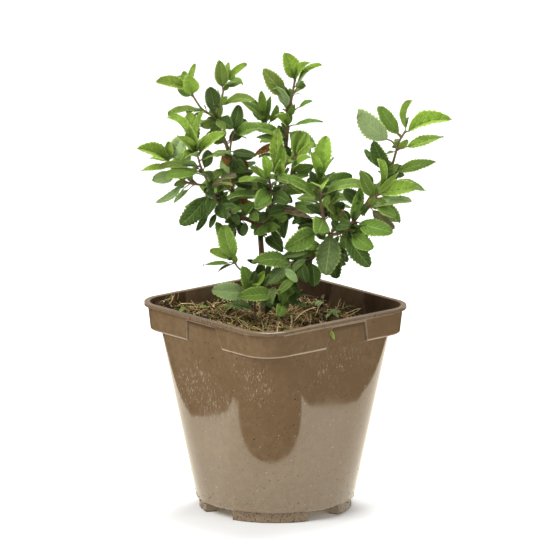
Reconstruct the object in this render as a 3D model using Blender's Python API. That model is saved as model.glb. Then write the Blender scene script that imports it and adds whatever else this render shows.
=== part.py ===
"""A young baby sage plant in a square-to-round nursery pot, about 290 mm tall.

Metres, +Z up, origin on the pot's axis at the height of its feet. Driving dimensions are in
millimetres below and are turned into metres where the meshes are made.
"""

import math
import random

import bmesh
import bpy
from mathutils import Matrix, Vector

MM = 0.001

# Pot: half sides and corner radii are of the outer surface.
RIM_TOP = 132.5
LIP_HEIGHT = 2.5
LIP_HALF = 65.0
LIP_CORNER = 20.0
COLLAR_HALF_TOP = 62.8
COLLAR_HALF_FOOT = 61.7
COLLAR_CORNER = 18.0
COLLAR_FOOT = 116.2
WALL_TOP = 114.6
WALL_HALF_TOP = 60.8
WALL_CORNER_TOP = 31.5
BASE_RADIUS = 49.8
BASE_FLAT = 1.5
BASE_LEVEL = 6.8
WALL_THICK = 1.3
COLLAR_SHOULDER = 1.0  # the underside of the collar rises this much
COLLAR_EDGE = 0.5
LIP_EDGE = 0.5
LIP_ROUND = 0.2
INNER_CORNER_LESS = 1.0
CORNER_STEPS = 5
RECESS_HALF_TOP = 61.1
RECESS_HALF_FOOT = 60.85
RECESS_TOP_GAP = 2.4
RECESS_FOOT_GAP = 0.05
PAST_EDGE = 5.0  # how far a recess's cutter reaches past the lip
PAST_RIM = 2.0
# Each recess: side it is on, its near and far end along that side at the top and at the foot.
RECESSES = (
    (0, -6.0, 21.0, -10.0, 24.0),
    (1, -14.0, 14.0, -19.0, 18.0),
    (2, -6.0, 21.0, -10.0, 24.0),
    (3, -13.0, 14.0, -14.0, 20.0),
)
FOOT_OUTER = 48.4
FOOT_DEPTH = 8.0
FOOT_GAP_ANGLE = 31.0
FOOT_STEPS = 8
FOOT_OVERLAP = 0.6  # a foot goes this far into the base, to fuse with it
DRAIN_RADIUS = 4.5
DRAIN_RING = 30.0
DRAIN_STEPS = 16
DRAIN_DEPTH = 12.0

# Soil: a gap keeps it clear of the pot, and its top rises and falls by the amounts below.
SOIL_TOP = 120.0
SOIL_FALL = (-0.03, -0.008)
SOIL_WAVE = 1.32
SOIL_WAVE_X = (0.11, 1.0)
SOIL_WAVE_Y = (0.13, -0.6)
SOIL_WAVE_ACROSS = (0.23, 0.5)
SOIL_GAP = 0.4
SOIL_EDGE_GAP = 0.8
SOIL_SIDE_TOP = 3.0  # the soil's straight side ends this far below the collar
SOIL_RINGS = 4
STEM_CLEARANCE = 0.5
HOLE_RESOLUTION = 8

# The plant is described as it looks from the front: millimetres to the right of the pot's axis,
# up the picture, and away. That view is this far round from the pot's own front, and this high.
SEEN_TURN = math.radians(49.3)
SEEN_RISE = math.radians(13.2)


def remove_everything():
    for thing in list(bpy.data.objects):
        bpy.data.objects.remove(thing, do_unlink=True)


def new_collection(name):
    made = bpy.data.collections.new(name)
    bpy.context.scene.collection.children.link(made)
    return made


def make_material(name, colour, roughness):
    material = bpy.data.materials.new(name)
    material.use_nodes = True
    shader = material.node_tree.nodes["Principled BSDF"]
    shader.inputs["Base Color"].default_value = (*colour, 1.0)
    shader.inputs["Roughness"].default_value = roughness
    shader.inputs["Metallic"].default_value = 0.0
    return material


def add_object(name, mesh, collection, material=None):
    made = bpy.data.objects.new(name, mesh)
    collection.objects.link(made)
    if material is not None:
        mesh.materials.append(material)
    return made


def add_cutter(name, mesh, collection):
    made = add_object(name, mesh, collection)
    made.hide_render = True
    made.display_type = "WIRE"
    return made


def add_boolean(target, cutter, operation="DIFFERENCE"):
    step = target.modifiers.new(cutter.name, "BOOLEAN")
    step.operation = operation
    step.solver = "EXACT"
    step.object = cutter


def settle(target):
    """Apply a target's modifiers and give it the result as its own mesh."""
    bpy.context.view_layer.update()
    shape = target.evaluated_get(bpy.context.evaluated_depsgraph_get())
    mesh = bpy.data.meshes.new_from_object(shape)
    target.modifiers.clear()
    target.data = mesh


def rounded_ring(half, corner, level):
    """One level of the pot: a square of this half side with its corners rounded."""
    points = []
    inset = half - corner
    for side in range(4):
        turn = side * math.pi / 2
        for step in range(CORNER_STEPS + 1):
            angle = step * math.pi / 2 / CORNER_STEPS
            x = inset + corner * math.cos(angle)
            y = inset + corner * math.sin(angle)
            points.append(
                (
                    x * math.cos(turn) - y * math.sin(turn),
                    x * math.sin(turn) + y * math.cos(turn),
                    level,
                )
            )
    return points


def loft(name, rings):
    """A closed mesh through rings of equal length, the first at the bottom, with flat ends."""
    shape = bmesh.new()
    loops = [[shape.verts.new(Vector(point) * MM) for point in ring] for ring in rings]
    count = len(rings[0])
    for lower, upper in zip(loops, loops[1:]):
        for index in range(count):
            after = (index + 1) % count
            shape.faces.new((lower[index], lower[after], upper[after], upper[index]))
    shape.faces.new(list(reversed(loops[0])))
    shape.faces.new(loops[-1])
    mesh = bpy.data.meshes.new(name)
    shape.to_mesh(mesh)
    shape.free()
    return mesh


def wall_ring(level, inset=0.0):
    """The tapering wall at one level, from its round foot to its square top."""
    part = (level - BASE_LEVEL) / (WALL_TOP - BASE_LEVEL)
    half = BASE_RADIUS + (WALL_HALF_TOP - BASE_RADIUS) * part - inset
    corner = BASE_RADIUS - BASE_FLAT + (WALL_CORNER_TOP - BASE_RADIUS + BASE_FLAT) * part - inset
    return rounded_ring(half, corner, level)


def recess_prism(name, side, ends, grow):
    """The block that a side's recess takes out of the collar; grow keeps wall behind it."""
    near_top, far_top, near_foot, far_foot = ends
    top = RIM_TOP - LIP_HEIGHT - RECESS_TOP_GAP + grow
    foot = WALL_TOP + RECESS_FOOT_GAP - grow
    deep_top = RECESS_HALF_TOP - grow
    deep_foot = RECESS_HALF_FOOT - grow
    out = LIP_HALF + PAST_EDGE
    turn = Matrix.Rotation(side * math.pi / 2, 3, "Z")
    levels = (
        (foot, deep_foot, near_foot - grow, far_foot + grow),
        (top, deep_top, near_top - grow, far_top + grow),
    )
    rings = []
    for level, deep, near, far in levels:
        corners = ((deep, near), (out, near), (out, far), (deep, far))
        rings.append([turn @ Vector((x, y, level)) for x, y in corners])
    return loft(name, rings)


def foot_block(name, side):
    """One of the four feet: an arc under a corner, between the gaps on the side middles."""
    start = math.radians(side * 90.0 + FOOT_GAP_ANGLE / 2)
    sweep = math.radians(90.0 - FOOT_GAP_ANGLE)
    rings = []
    for level in (0.0, BASE_LEVEL + FOOT_OVERLAP):
        outline = []
        for step in range(FOOT_STEPS + 1):
            angle = start + sweep * step / FOOT_STEPS
            outline.append((FOOT_OUTER * math.cos(angle), FOOT_OUTER * math.sin(angle), level))
        for step in range(FOOT_STEPS, -1, -1):
            angle = start + sweep * step / FOOT_STEPS
            inner = FOOT_OUTER - FOOT_DEPTH
            outline.append((inner * math.cos(angle), inner * math.sin(angle), level))
        rings.append(outline)
    return loft(name, rings)


def make_pot(collection, cutters, material):
    lip_foot = RIM_TOP - LIP_HEIGHT
    outer_rings = [
        wall_ring(BASE_LEVEL),
        wall_ring(WALL_TOP),
        rounded_ring(COLLAR_HALF_FOOT - COLLAR_EDGE, COLLAR_CORNER, WALL_TOP + COLLAR_SHOULDER),
        rounded_ring(COLLAR_HALF_FOOT, COLLAR_CORNER, COLLAR_FOOT),
        rounded_ring(COLLAR_HALF_TOP, COLLAR_CORNER, lip_foot),
        rounded_ring(LIP_HALF - LIP_ROUND, LIP_CORNER, lip_foot + LIP_ROUND),
        rounded_ring(LIP_HALF, LIP_CORNER, lip_foot + LIP_ROUND + LIP_EDGE),
        rounded_ring(LIP_HALF, LIP_CORNER, RIM_TOP - 2 * LIP_ROUND),
        rounded_ring(LIP_HALF - LIP_EDGE, LIP_CORNER - LIP_EDGE, RIM_TOP),
    ]
    pot = add_object("pot", loft("pot", outer_rings), collection, material)
    floor_level = BASE_LEVEL + WALL_THICK
    inner_corner = COLLAR_CORNER - INNER_CORNER_LESS
    inner_rings = [
        wall_ring(floor_level, WALL_THICK),
        wall_ring(WALL_TOP, WALL_THICK),
        rounded_ring(COLLAR_HALF_FOOT - WALL_THICK, inner_corner, COLLAR_FOOT + WALL_THICK),
        rounded_ring(COLLAR_HALF_TOP - WALL_THICK, inner_corner, RIM_TOP + PAST_RIM),
    ]
    inside = add_cutter("pot_inside", loft("pot_inside", inner_rings), cutters)
    for side, *ends in RECESSES:
        keep = add_cutter(f"recess_wall_{side}", recess_prism("keep", side, ends, WALL_THICK), cutters)
        add_boolean(inside, keep)
        recess = add_cutter(f"recess_{side}", recess_prism("recess", side, ends, 0.0), cutters)
        add_boolean(pot, recess)
        foot = add_cutter(f"foot_{side}", foot_block("foot", side), cutters)
        add_boolean(pot, foot, "UNION")
    add_boolean(pot, inside)
    for hole in range(4):
        angle = math.radians(45.0 + 90.0 * hole)
        shape = bmesh.new()
        place = Matrix.Translation(
            (DRAIN_RING * MM * math.cos(angle), DRAIN_RING * MM * math.sin(angle), BASE_LEVEL * MM)
        )
        bmesh.ops.create_cone(
            shape,
            cap_ends=True,
            segments=DRAIN_STEPS,
            radius1=DRAIN_RADIUS * MM,
            radius2=DRAIN_RADIUS * MM,
            depth=DRAIN_DEPTH * MM,
            matrix=place,
        )
        mesh = bpy.data.meshes.new("drain")
        shape.to_mesh(mesh)
        shape.free()
        add_boolean(pot, add_cutter(f"drain_{hole}", mesh, cutters))


def soil_height(x, y):
    """The soil's top: lower at the back and right, a little uneven everywhere."""
    tilt = SOIL_FALL[0] * x + SOIL_FALL[1] * y
    along_x = math.sin(x * SOIL_WAVE_X[0] + SOIL_WAVE_X[1])
    along_y = math.cos(y * SOIL_WAVE_Y[0] + SOIL_WAVE_Y[1])
    across = SOIL_WAVE_ACROSS[1] * math.sin(SOIL_WAVE_ACROSS[0] * (x + y))
    return SOIL_TOP + tilt + SOIL_WAVE * (along_x * along_y + across)


def make_soil(collection, cutters, material, stems):
    """Soil fills the pot; its top is a fan of rings that follows soil_height."""
    base = BASE_LEVEL + WALL_THICK + SOIL_GAP
    shape = bmesh.new()
    outline = []
    for level in (base, WALL_TOP - SOIL_SIDE_TOP):
        ring = wall_ring(level, WALL_THICK + SOIL_GAP)
        outline.append([shape.verts.new(Vector(point) * MM) for point in ring])
    rim = rounded_ring(
        WALL_HALF_TOP - WALL_THICK - SOIL_GAP - SOIL_EDGE_GAP,
        WALL_CORNER_TOP - WALL_THICK,
        0.0,
    )
    for ring in range(SOIL_RINGS):
        inward = 1.0 - ring / SOIL_RINGS
        points = []
        for x, y, _ in rim:
            height = soil_height(x * inward, y * inward)
            points.append(shape.verts.new(Vector((x * inward, y * inward, height)) * MM))
        outline.append(points)
    count = len(rim)
    for lower, upper in zip(outline, outline[1:]):
        for index in range(count):
            after = (index + 1) % count
            shape.faces.new((lower[index], lower[after], upper[after], upper[index]))
    shape.faces.new(list(reversed(outline[0])))
    middle = shape.verts.new(Vector((0.0, 0.0, soil_height(0.0, 0.0))) * MM)
    for index in range(count):
        shape.faces.new((outline[-1][index], outline[-1][(index + 1) % count], middle))
    bmesh.ops.triangulate(shape, faces=shape.faces[:])
    mesh = bpy.data.meshes.new("soil")
    shape.to_mesh(mesh)
    shape.free()
    soil = add_object("soil", mesh, collection, material)
    for name, points, radii in stems:
        sleeve = [radius + STEM_CLEARANCE for radius in radii]
        hole = tube(f"{name}_hole", points, sleeve, HOLE_RESOLUTION)
        cutter = add_cutter(f"{name}_hole", hole, cutters)
        add_boolean(soil, cutter)


# Every shoot: node, route, thickness at its two ends, its leaves, and how many more leaves its
# hidden side has. A leaf is: place along the route, its tip (right, up, away), its width, the way
# its upper face looks (u up, f front, b back, l left, r right) and its stalk as a part of it all.
SHOOTS = {
    "trunk": dict(
        node="leafy_stem_main",
        route=((-7, 112, 10), (-8, 138, 10), (-8, 150, 10), (-9, 165, 9), (-10, 179, 8)),
        thick=(2.2, 1.8),
        leaves=(
            (0.62, -18, 156, 4, 3, "f", 0.3),
            (0.95, -12, 172, -6, 7, "f", 0.3),
            (0.98, 2, 176, -8, 8, "f", 0.3),
            (0.9, 5, 162, -2, 9, "f", 0.25),
        ),
        hidden=0,
    ),
    "left_branch": dict(
        node="leafy_stem_main",
        route=(
            (-10, 178, 8), (-16, 181, 6), (-24, 184, 3),
            (-31, 188, 0), (-38, 195, -3), (-42, 203, -5),
        ),
        thick=(1.7, 1.2),
        leaves=(
            (0.97, -43, 199, -26, 12, "f", 0.25),
            (0.9, -60, 178, -14, 13, "f", 0.2),
            (0.85, -42, 186, -20, 8, "f", 0.3),
            (0.75, -32, 182, -20, 9, "f", 0.25),
            (0.62, -27, 190, -26, 7, "f", 0.3),
            (0.5, -22, 189, -17, 6, "f", 0.3),
            (0.8, -50, 174, -8, 5, "f", 0.4),
            (0.35, -20, 171, 0, 8, "f", 0.3),
            (0.3, -13, 192, -10, 7, "f", 0.2),
            (0.45, -27, 167, 2, 4, "f", 0.3),
            (0.97, -25, 210, -24, 9, "u", 0.15),
            (0.93, -27, 203, -30, 8, "u", 0.15),
            (0.6, -12, 196, -22, 7, "u", 0.2),
        ),
        hidden=6,
    ),
    "cut_twig": dict(
        node="leafy_stem_main",
        route=((-12, 180, 6), (-16, 186, 1), (-19, 190, -3)),
        thick=(1.2, 1.0),
        leaves=((0.6, -12, 181, -16, 7, "f", 0.2),),
        hidden=0,
    ),
    "upper_left_stem": dict(
        node="leafy_stem_main",
        route=(
            (-27, 186, 2), (-27, 200, 4), (-28, 216, 4),
            (-30, 226, 3), (-34, 236, 2), (-38, 246, 1),
        ),
        thick=(1.5, 1.0),
        leaves=(
            (0.5, -18, 212, -8, 9, "f", 0.2),
            (0.45, -26, 219, -16, 6, "f", 0.3),
            (0.4, -12, 211, -12, 6, "u", 0.25),
            (0.3, -15, 203, -15, 6, "u", 0.25),
            (0.62, -12, 222, -6, 7, "u", 0.15),
            (0.72, -35, 238, 12, 8, "f", 0.3),
            (0.98, -27, 239, -12, 10, "u", 0.15),
            (0.97, -33, 238, -18, 6, "u", 0.15),
            (0.96, -47, 240, -8, 7, "f", 0.25),
            (0.93, -37, 233, -6, 3.5, "f", 0.3),
            (0.99, -42, 265, 9, 11, "f", 0.2),
            (1.0, -37, 267, 13, 4, "r", 0.3),
        ),
        hidden=5,
    ),
    "left_crown": dict(
        node="leafy_stem_main",
        route=((-38, 246, 1), (-43, 249, 0), (-47, 252, -1), (-51, 258, -1), (-55, 264, -1)),
        thick=(0.9, 0.6),
        leaves=(
            (0.97, -74.5, 269.5, -6, 8, "uf", 0.1),
            (0.75, -55, 273, -8, 11, "f", 0.2),
            (1.0, -50.5, 280, 2, 4.5, "l", 0.1),
            (0.98, -62, 272, 7, 7, "f", 0.15),
            (0.3, -68, 248.5, -4, 7, "u", 0.12),
            (0.25, -51, 247, -8, 4, "u", 0.3),
        ),
        hidden=0,
    ),
    "second_crown": dict(
        node="leafy_stem_main",
        route=((-38, 245, 1), (-36.5, 250, 1), (-34.5, 255, 1), (-33, 262, 1), (-31, 269, 1)),
        thick=(0.9, 0.6),
        leaves=(
            (0.7, -35, 282, -3, 9.5, "f", 0.2),
            (0.98, -18, 280, 4, 5, "uf", 0.1),
            (1.0, -29.5, 281, 5, 4, "f", 0.1),
            (0.85, -22, 268, -14, 10, "u", 0.15),
            (0.35, -13, 257, -8, 10, "u", 0.12),
        ),
        hidden=0,
    ),
    "upright_pair": dict(
        node="leafy_stem_main",
        route=((-29, 221, 3), (-28, 230, 0), (-26, 237, -2)),
        thick=(0.8, 0.6),
        leaves=(
            (0.95, -23, 254, -1, 9, "f", 0.12),
            (0.9, -8, 240, -8, 11, "uf", 0.12),
        ),
        hidden=0,
    ),
    "left_rosette": dict(
        node="leafy_stem_main",
        route=((-41, 201, -4), (-43, 206, -8), (-46, 212, -12), (-48, 218, -15), (-50, 225, -17)),
        thick=(1.0, 0.6),
        leaves=(
            (0.97, -66, 247.5, -12, 7, "ru", 0.15),
            (1.0, -54, 249.5, -5, 11, "f", 0.15),
            (1.0, -45.5, 250, -9, 6.5, "lf", 0.15),
            (0.97, -54.5, 240, -27, 9, "f", 0.1),
            (0.93, -60, 234, -30, 6, "rf", 0.12),
            (0.95, -44.5, 234, -30, 4.5, "lf", 0.12),
            (0.9, -31.5, 236, -28, 10, "uf", 0.1),
            (0.85, -57.5, 221, -31, 8, "u", 0.15),
            (0.75, -28, 224, -27, 8, "u", 0.12),
            (0.6, -73, 215.5, -19, 5, "u", 0.2),
            (0.5, -69, 210.5, -21, 8, "u", 0.12),
        ),
        hidden=1,
    ),
    "far_left_rosette": dict(
        node="leafy_stem_main",
        route=((-42, 203, -5), (-52, 204, -6), (-58, 206, -6), (-63, 210, -5), (-68, 219, -4)),
        thick=(0.9, 0.5),
        leaves=(
            (0.97, -85.5, 226.5, -25, 12, "uf", 0.12),
            (1.0, -67.5, 231, -3, 6.5, "f", 0.1),
            (0.98, -59, 234.5, 6, 11, "f", 0.15),
            (0.85, -85, 212, -10, 7, "u", 0.12),
            (0.65, -78, 206.5, -13, 9, "u", 0.15),
            (0.45, -75.5, 192, -14, 5.5, "lu", 0.15),
            (0.35, -60, 195, -19, 5.5, "l", 0.2),
            (0.25, -64.5, 192, -6, 4, "u", 0.3),
        ),
        hidden=2,
    ),
    "centre_branch": dict(
        node="leafy_stem_main",
        route=((-10, 174, 9), (-7, 182, 10), (-2, 192, 11), (4, 206, 12), (6, 220, 12), (7.5, 236, 10)),
        thick=(1.7, 1.1),
        leaves=(
            (0.25, 22, 182.5, -14, 5.5, "f", 0.25),
            (0.08, 8, 184, -4, 9, "f", 0.15),
            (0.97, -20, 241.5, -4, 9, "u", 0.12),
            (0.95, -12, 233, -8, 6, "uf", 0.15),
            (0.9, -13.5, 222, 4, 6, "uf", 0.15),
        ),
        hidden=6,
    ),
    "top_shoot": dict(
        node="leafy_stem_main",
        route=((7.5, 236, 10), (8, 246, 9), (9.5, 254, 8), (11, 262, 7), (12.5, 270, 6)),
        thick=(1.1, 0.7),
        leaves=(
            (0.97, 6, 287, 2, 12, "f", 0.12),
            (0.55, -7, 276, -6, 12.5, "uf", 0.3),
            (0.3, 0.5, 265, -7, 11, "fb", 0.3),
            (1.0, 21, 280, -6, 9.5, "lf", 0.12),
            (0.7, 29, 279.5, -2, 7, "ul", 0.25),
            (0.85, 19, 267, 8, 5, "f", 0.3),
            (0.3, 23.5, 256, -4, 7, "u", 0.55),
            (0.1, 30.3, 243, -6, 7, "u", 0.25),
            (0.6, 9, 263, 16, 5, "f", 0.3),
            (0.12, 0, 247, 3, 9, "uf", 0.2),
            (0.03, 25.2, 227.5, 2, 13, "u", 0.1),
        ),
        hidden=0,
    ),
    "back_shoot": dict(
        node="leafy_stem_main",
        route=((6, 224, 12), (0, 236, 15), (-5, 241, 15), (-7, 246, 14)),
        thick=(0.9, 0.6),
        leaves=(
            (0.97, -9, 263, 11, 6, "f", 0.3),
            (0.95, -22.5, 256, 6, 8, "u", 0.2),
            (0.9, -15.5, 259, 18, 4.5, "f", 0.2),
            (0.85, -2.7, 260, 15, 5, "f", 0.25),
            (0.75, 1.5, 254, 9, 5, "f", 0.25),
        ),
        hidden=1,
    ),
    "middle_rosette": dict(
        node="leafy_stem_main",
        route=((-8, 176, 8), (-4, 184, 3), (-3, 193, -3), (-3, 201, -8), (-4, 208, -12)),
        thick=(1.2, 0.7),
        leaves=(
            (1.0, -7, 222, -11, 7.5, "f", 0.12),
            (0.97, -15.5, 215, -14, 5, "uf", 0.12),
            (0.95, -12.5, 216, -19, 4, "rf", 0.12),
            (0.85, -23.5, 205.5, -24, 7, "u", 0.12),
            (0.9, -17, 207, -29, 5.5, "u", 0.12),
            (0.75, -12, 190.5, -31, 12, "f", 0.12),
            (0.8, 8.7, 206.5, -27, 6.5, "u", 0.12),
            (0.7, 9.3, 192, -23, 9, "f", 0.15),
            (0.3, -12, 180.5, -15, 7, "f", 0.2),
            (0.2, 14, 187, 4, 9, "f", 0.15),
            (0.6, -30, 197, -21, 6.5, "u", 0.12),
        ),
        hidden=1,
    ),
    "inner_rosette": dict(
        node="leafy_stem_main",
        route=((-3, 196, -5), (0, 203, -7), (1, 210, -9)),
        thick=(0.9, 0.6),
        leaves=(
            (0.95, 1, 240, 3, 10, "f", 0.12),
            (1.0, 4, 229.5, -9, 8, "f", 0.12),
            (0.97, 4, 219, -17, 7, "f", 0.12),
            (0.9, -1.8, 220.5, -16, 3.5, "rf", 0.15),
        ),
        hidden=0,
    ),
    "pale_rosette": dict(
        node="leafy_stem_main",
        route=((-3, 190, 0), (4, 199, -4), (9, 206, -6), (11, 213, -9), (13, 220, -11)),
        thick=(0.9, 0.6),
        leaves=(
            (0.97, 16, 237, -2, 11, "f", 0.12),
            (1.0, 11, 234, -12, 4.5, "l", 0.12),
            (1.0, 20.5, 235.5, -9, 8, "f", 0.12),
            (0.95, 24.3, 230, -13, 5, "uf", 0.12),
            (0.8, 21.7, 220.5, -25, 9, "uf", 0.12),
            (0.75, 24, 215.5, -14, 8, "f", 0.15),
            (0.6, 21, 209.5, -15, 7, "u", 0.15),
        ),
        hidden=1,
    ),
    "right_branch": dict(
        node="leafy_stem_right",
        route=(
            (4, 111, 4), (7, 132, 2), (13, 149, 1), (18, 153, 0),
            (24, 158, -1), (31.5, 164, -2), (35, 172, -3),
        ),
        thick=(1.8, 1.3),
        leaves=(
            (1.0, 31.6, 147, -22, 17, "f", 0.06),
            (0.98, 39, 144, -6, 13, "f", 0.15),
            (0.55, 22, 146, -4, 9, "f", 0.15),
            (0.8, 12, 170, 0, 9, "f", 0.15),
            (0.6, 3, 150, -6, 8, "f", 0.15),
            (0.88, 17, 165, -11, 7, "uf", 0.2),
            (0.72, 25, 139, -12, 10, "f", 0.2),
            (0.74, 9.3, 146, -10, 8, "f", 0.2),
            (0.64, -14, 154, -23, 13, "uf", 0.3),
            (0.56, -6, 142, -20, 11, "f", 0.15),
            (0.48, 13, 142, -18, 8, "f", 0.25),
            (0.85, 5.5, 158, -8, 8, "f", 0.3),
        ),
        hidden=0,
    ),
    "cut_stub": dict(
        node="leafy_stem_right",
        route=((36, 174, -4), (40, 182, -6), (43, 187.5, -7)),
        thick=(1.2, 1.1),
        leaves=((0.3, 47, 177.5, -22, 9, "uf", 0.15),),
        hidden=0,
    ),
    "right_middle_shoot": dict(
        node="leafy_stem_right",
        route=(
            (35, 171, -3), (31.5, 178, -6), (30.3, 184.5, -8),
            (29, 190.7, -9), (28.4, 200, -10), (28.4, 207, -10),
        ),
        thick=(1.3, 0.7),
        leaves=(
            (1.0, 32.5, 234.5, -4, 12.5, "f", 0.12),
            (0.97, 23, 224, -16, 6.5, "rf", 0.1),
            (0.98, 37.7, 220.6, -17, 6.5, "lf", 0.1),
            (0.88, 28.5, 201.5, -27, 12, "u", 0.1),
            (0.72, 54.4, 205, -18, 10, "u", 0.15),
            (0.85, 48.7, 208, 0, 9, "u", 0.12),
            (0.6, 4.5, 209.5, -27, 9.5, "u", 0.2),
            (0.62, 21, 208, -4, 7, "f", 0.3),
            (0.5, 40, 199, -4, 6.5, "f", 0.3),
            (0.45, 20, 190, 4, 8, "f", 0.15),
            (0.35, 27.5, 173.5, -29, 13.5, "f", 0.12),
            (0.22, 5.5, 163.5, -27, 15, "f", 0.3),
            (0.1, 12, 184, 8, 9, "f", 0.2),
            (0.3, 44, 192, -2, 9, "f", 0.2),
            (0.15, 14, 176, -2, 10, "f", 0.15),
        ),
        hidden=2,
    ),
    "lower_right_shoot": dict(
        node="leafy_stem_right",
        route=(
            (35, 172, -3), (41, 173, -4), (47.5, 177.5, -6), (52.5, 184, -8),
            (57.5, 189.5, -10), (62.5, 194.5, -12), (65, 197.5, -13),
        ),
        thick=(1.2, 0.8),
        leaves=(
            (1.0, 67, 219.5, -15, 6, "rf", 0.08),
            (0.9, 53.5, 212, -18, 9, "f", 0.1),
            (1.0, 89.3, 201.5, -20, 12, "uf", 0.08),
            (0.62, 86, 193.5, -22, 7, "u", 0.25),
            (0.93, 78.5, 179, -6, 11, "f", 0.12),
            (0.4, 73.5, 174, -27, 13, "uf", 0.2),
            (0.25, 61.5, 163, -24, 11, "f", 0.3),
            (0.22, 60, 151.5, -15, 13, "f", 0.12),
            (0.3, 63, 177, -16, 9, "f", 0.15),
            (0.12, 48, 163, -6, 8, "f", 0.2),
            (0.75, 75.5, 175.5, -14, 8, "f", 0.2),
            (0.55, 52, 197, -2, 7, "f", 0.15),
            (0.35, 54, 203, -12, 9, "f", 0.15),
            (0.38, 34, 189.5, -3, 8, "f", 0.15),
        ),
        hidden=2,
    ),
    "upper_right_shoot": dict(
        node="leafy_stem_right",
        route=(
            (47, 177, -5), (54, 186, 3), (60, 195, 6), (64, 202, 7),
            (72, 211, 6), (76, 222.5, 5), (78.5, 231, 4), (82.5, 237.5, 3),
        ),
        thick=(1.3, 0.7),
        leaves=(
            (0.82, 52, 250, -8, 15, "f", 0.28),
            (0.92, 66, 253, -1, 10, "rf", 0.15),
            (1.0, 84.5, 257, 2, 6.5, "lf", 0.1),
            (0.98, 111, 245, -8, 12.5, "uf", 0.1),
            (0.8, 106.8, 233.5, 0, 9.5, "uf", 0.25),
            (0.58, 102, 217.5, -8, 9.5, "uf", 0.25),
            (0.5, 95.4, 199.5, 4, 10, "u", 0.25),
            (0.6, 62, 231, 1, 11.5, "f", 0.12),
            (0.62, 56.5, 226, 10, 5, "f", 0.2),
            (0.57, 77.5, 216.5, -3, 5.5, "f", 0.1),
            (0.42, 53.8, 212, 5, 7.5, "uf", 0.2),
        ),
        hidden=0,
    ),
    "low_shoot": dict(
        node="leafy_stem_low",
        route=(
            (-12, 108, -6), (-13, 128, -10), (-14.5, 141, -12),
            (-20.5, 148, -13), (-24.3, 152, -13), (-27, 156, -13),
        ),
        thick=(0.9, 0.6),
        leaves=(
            (0.92, -32.5, 178, -15, 12.5, "f", 0.22),
            (1.0, -41.5, 162, -12, 6.5, "uf", 0.12),
            (0.95, -46, 152, -18, 5.5, "u", 0.2),
            (0.97, -37, 180, -5, 8.5, "f", 0.25),
            (0.5, -40, 137, -20, 12.5, "uf", 0.2),
            (0.5, -20.5, 152, -22, 10.5, "f", 0.12),
            (0.6, -12.5, 149, -26, 6.5, "f", 0.15),
        ),
        hidden=1,
    ),
    "back_left_shoot": dict(
        node="leafy_stem_main",
        route=((-27, 191, 3), (-28, 198, 16), (-29, 203, 30), (-30, 208, 42)),
        thick=(1.1, 0.6),
        leaves=(
            (0.97, -45, 212, 65, 12, "u", 0.12),
            (1.0, -20, 216, 62, 11, "u", 0.12),
            (0.9, -14, 205, 50, 10, "u", 0.12),
            (0.85, -48, 202, 48, 10, "u", 0.12),
            (0.98, -33, 222, 48, 8, "b", 0.12),
            (1.0, -27, 222, 42, 7, "b", 0.12),
            (0.55, -44, 196, 34, 9, "u", 0.15),
            (0.5, -14, 198, 30, 9, "u", 0.15),
        ),
        hidden=0,
    ),
    "back_right_shoot": dict(
        node="leafy_stem_right",
        route=((31.5, 178, -6), (30, 184, 10), (31, 190, 26), (34, 197, 38)),
        thick=(1.1, 0.6),
        leaves=(
            (0.97, 26, 206, 60, 12, "u", 0.12),
            (1.0, 45, 205, 58, 11, "u", 0.12),
            (0.9, 14, 196, 44, 10, "u", 0.12),
            (0.85, 52, 196, 40, 10, "u", 0.12),
            (0.98, 30, 212, 42, 8, "b", 0.12),
            (1.0, 38, 212, 44, 7, "b", 0.12),
            (0.55, 48, 190, 26, 9, "u", 0.15),
        ),
        hidden=0,
    ),
    "crown_shoot": dict(
        node="leafy_stem_right",
        route=((7, 131, 2), (5, 130, -6), (6, 134, -14)),
        thick=(0.9, 0.6),
        leaves=(
            (1.0, 1.7, 135, -26, 8.5, "f", 0.12),
            (0.8, 15, 135.5, -17, 8, "f", 0.2),
            (0.6, 1.5, 120.5, -30, 8, "f", 0.35),
            (0.95, -22.5, 133, -26, 11, "uf", 0.25),
            (0.7, -5, 128, -24, 6, "f", 0.15),
            (0.5, 20, 126, -18, 5, "u", 0.3),
            (0.9, 27.5, 132, -12, 2.2, "u", 0.2),
        ),
        hidden=0,
    ),
}

# Leaves: every second edge point is a notch. Fold lifts the edges, and arch bows the blade.
LEAF_THICK = 0.9
STALK_HALF = 0.55
NOTCH = 0.13
WIDEST = 0.9
BLUNTNESS = 0.6
FOLD = 0.28
ARCH = 0.07
# A blade narrower than the first number has this many edge points a side and points on its spine.
BLADE_DETAIL = ((6.2, 4, 1), (9.4, 5, 2), (99.0, 6, 2))
THIN_STEM = 1.6

# The leaves of a shoot's hidden side are drawn at random within these bounds: where they start
# along it, how far to one side and how far up they point, their length, and width to length.
SEED = 41
HIDDEN_START = (0.2, 0.95)
HIDDEN_SPREAD = 1.25
HIDDEN_TURN = (0.15, 1.0)
HIDDEN_LIFT = (-0.25, 0.65)
HIDDEN_LENGTH = (19.0, 27.0)
HIDDEN_SHAPE = (0.4, 0.52)
HIDDEN_STALK = 0.18
HIDDEN_FACING = Vector((0, -0.3, 1))

FACING = {
    "u": Vector((0, -0.45, 1)),
    "f": Vector((0, -1, 0.15)),
    "b": Vector((0, 1, 0)),
    "l": Vector((-1, 0, 0)),
    "r": Vector((1, 0, 0)),
}


def seen(right, rise, away):
    """A point given as it looks from the front, in the pot's own millimetres."""
    up = (rise - away * math.sin(SEEN_RISE)) / math.cos(SEEN_RISE)
    return Matrix.Rotation(SEEN_TURN, 3, "Z") @ Vector((right, away, up))


def seen_direction(direction):
    return (Matrix.Rotation(SEEN_TURN, 3, "Z") @ direction).normalized()


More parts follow.
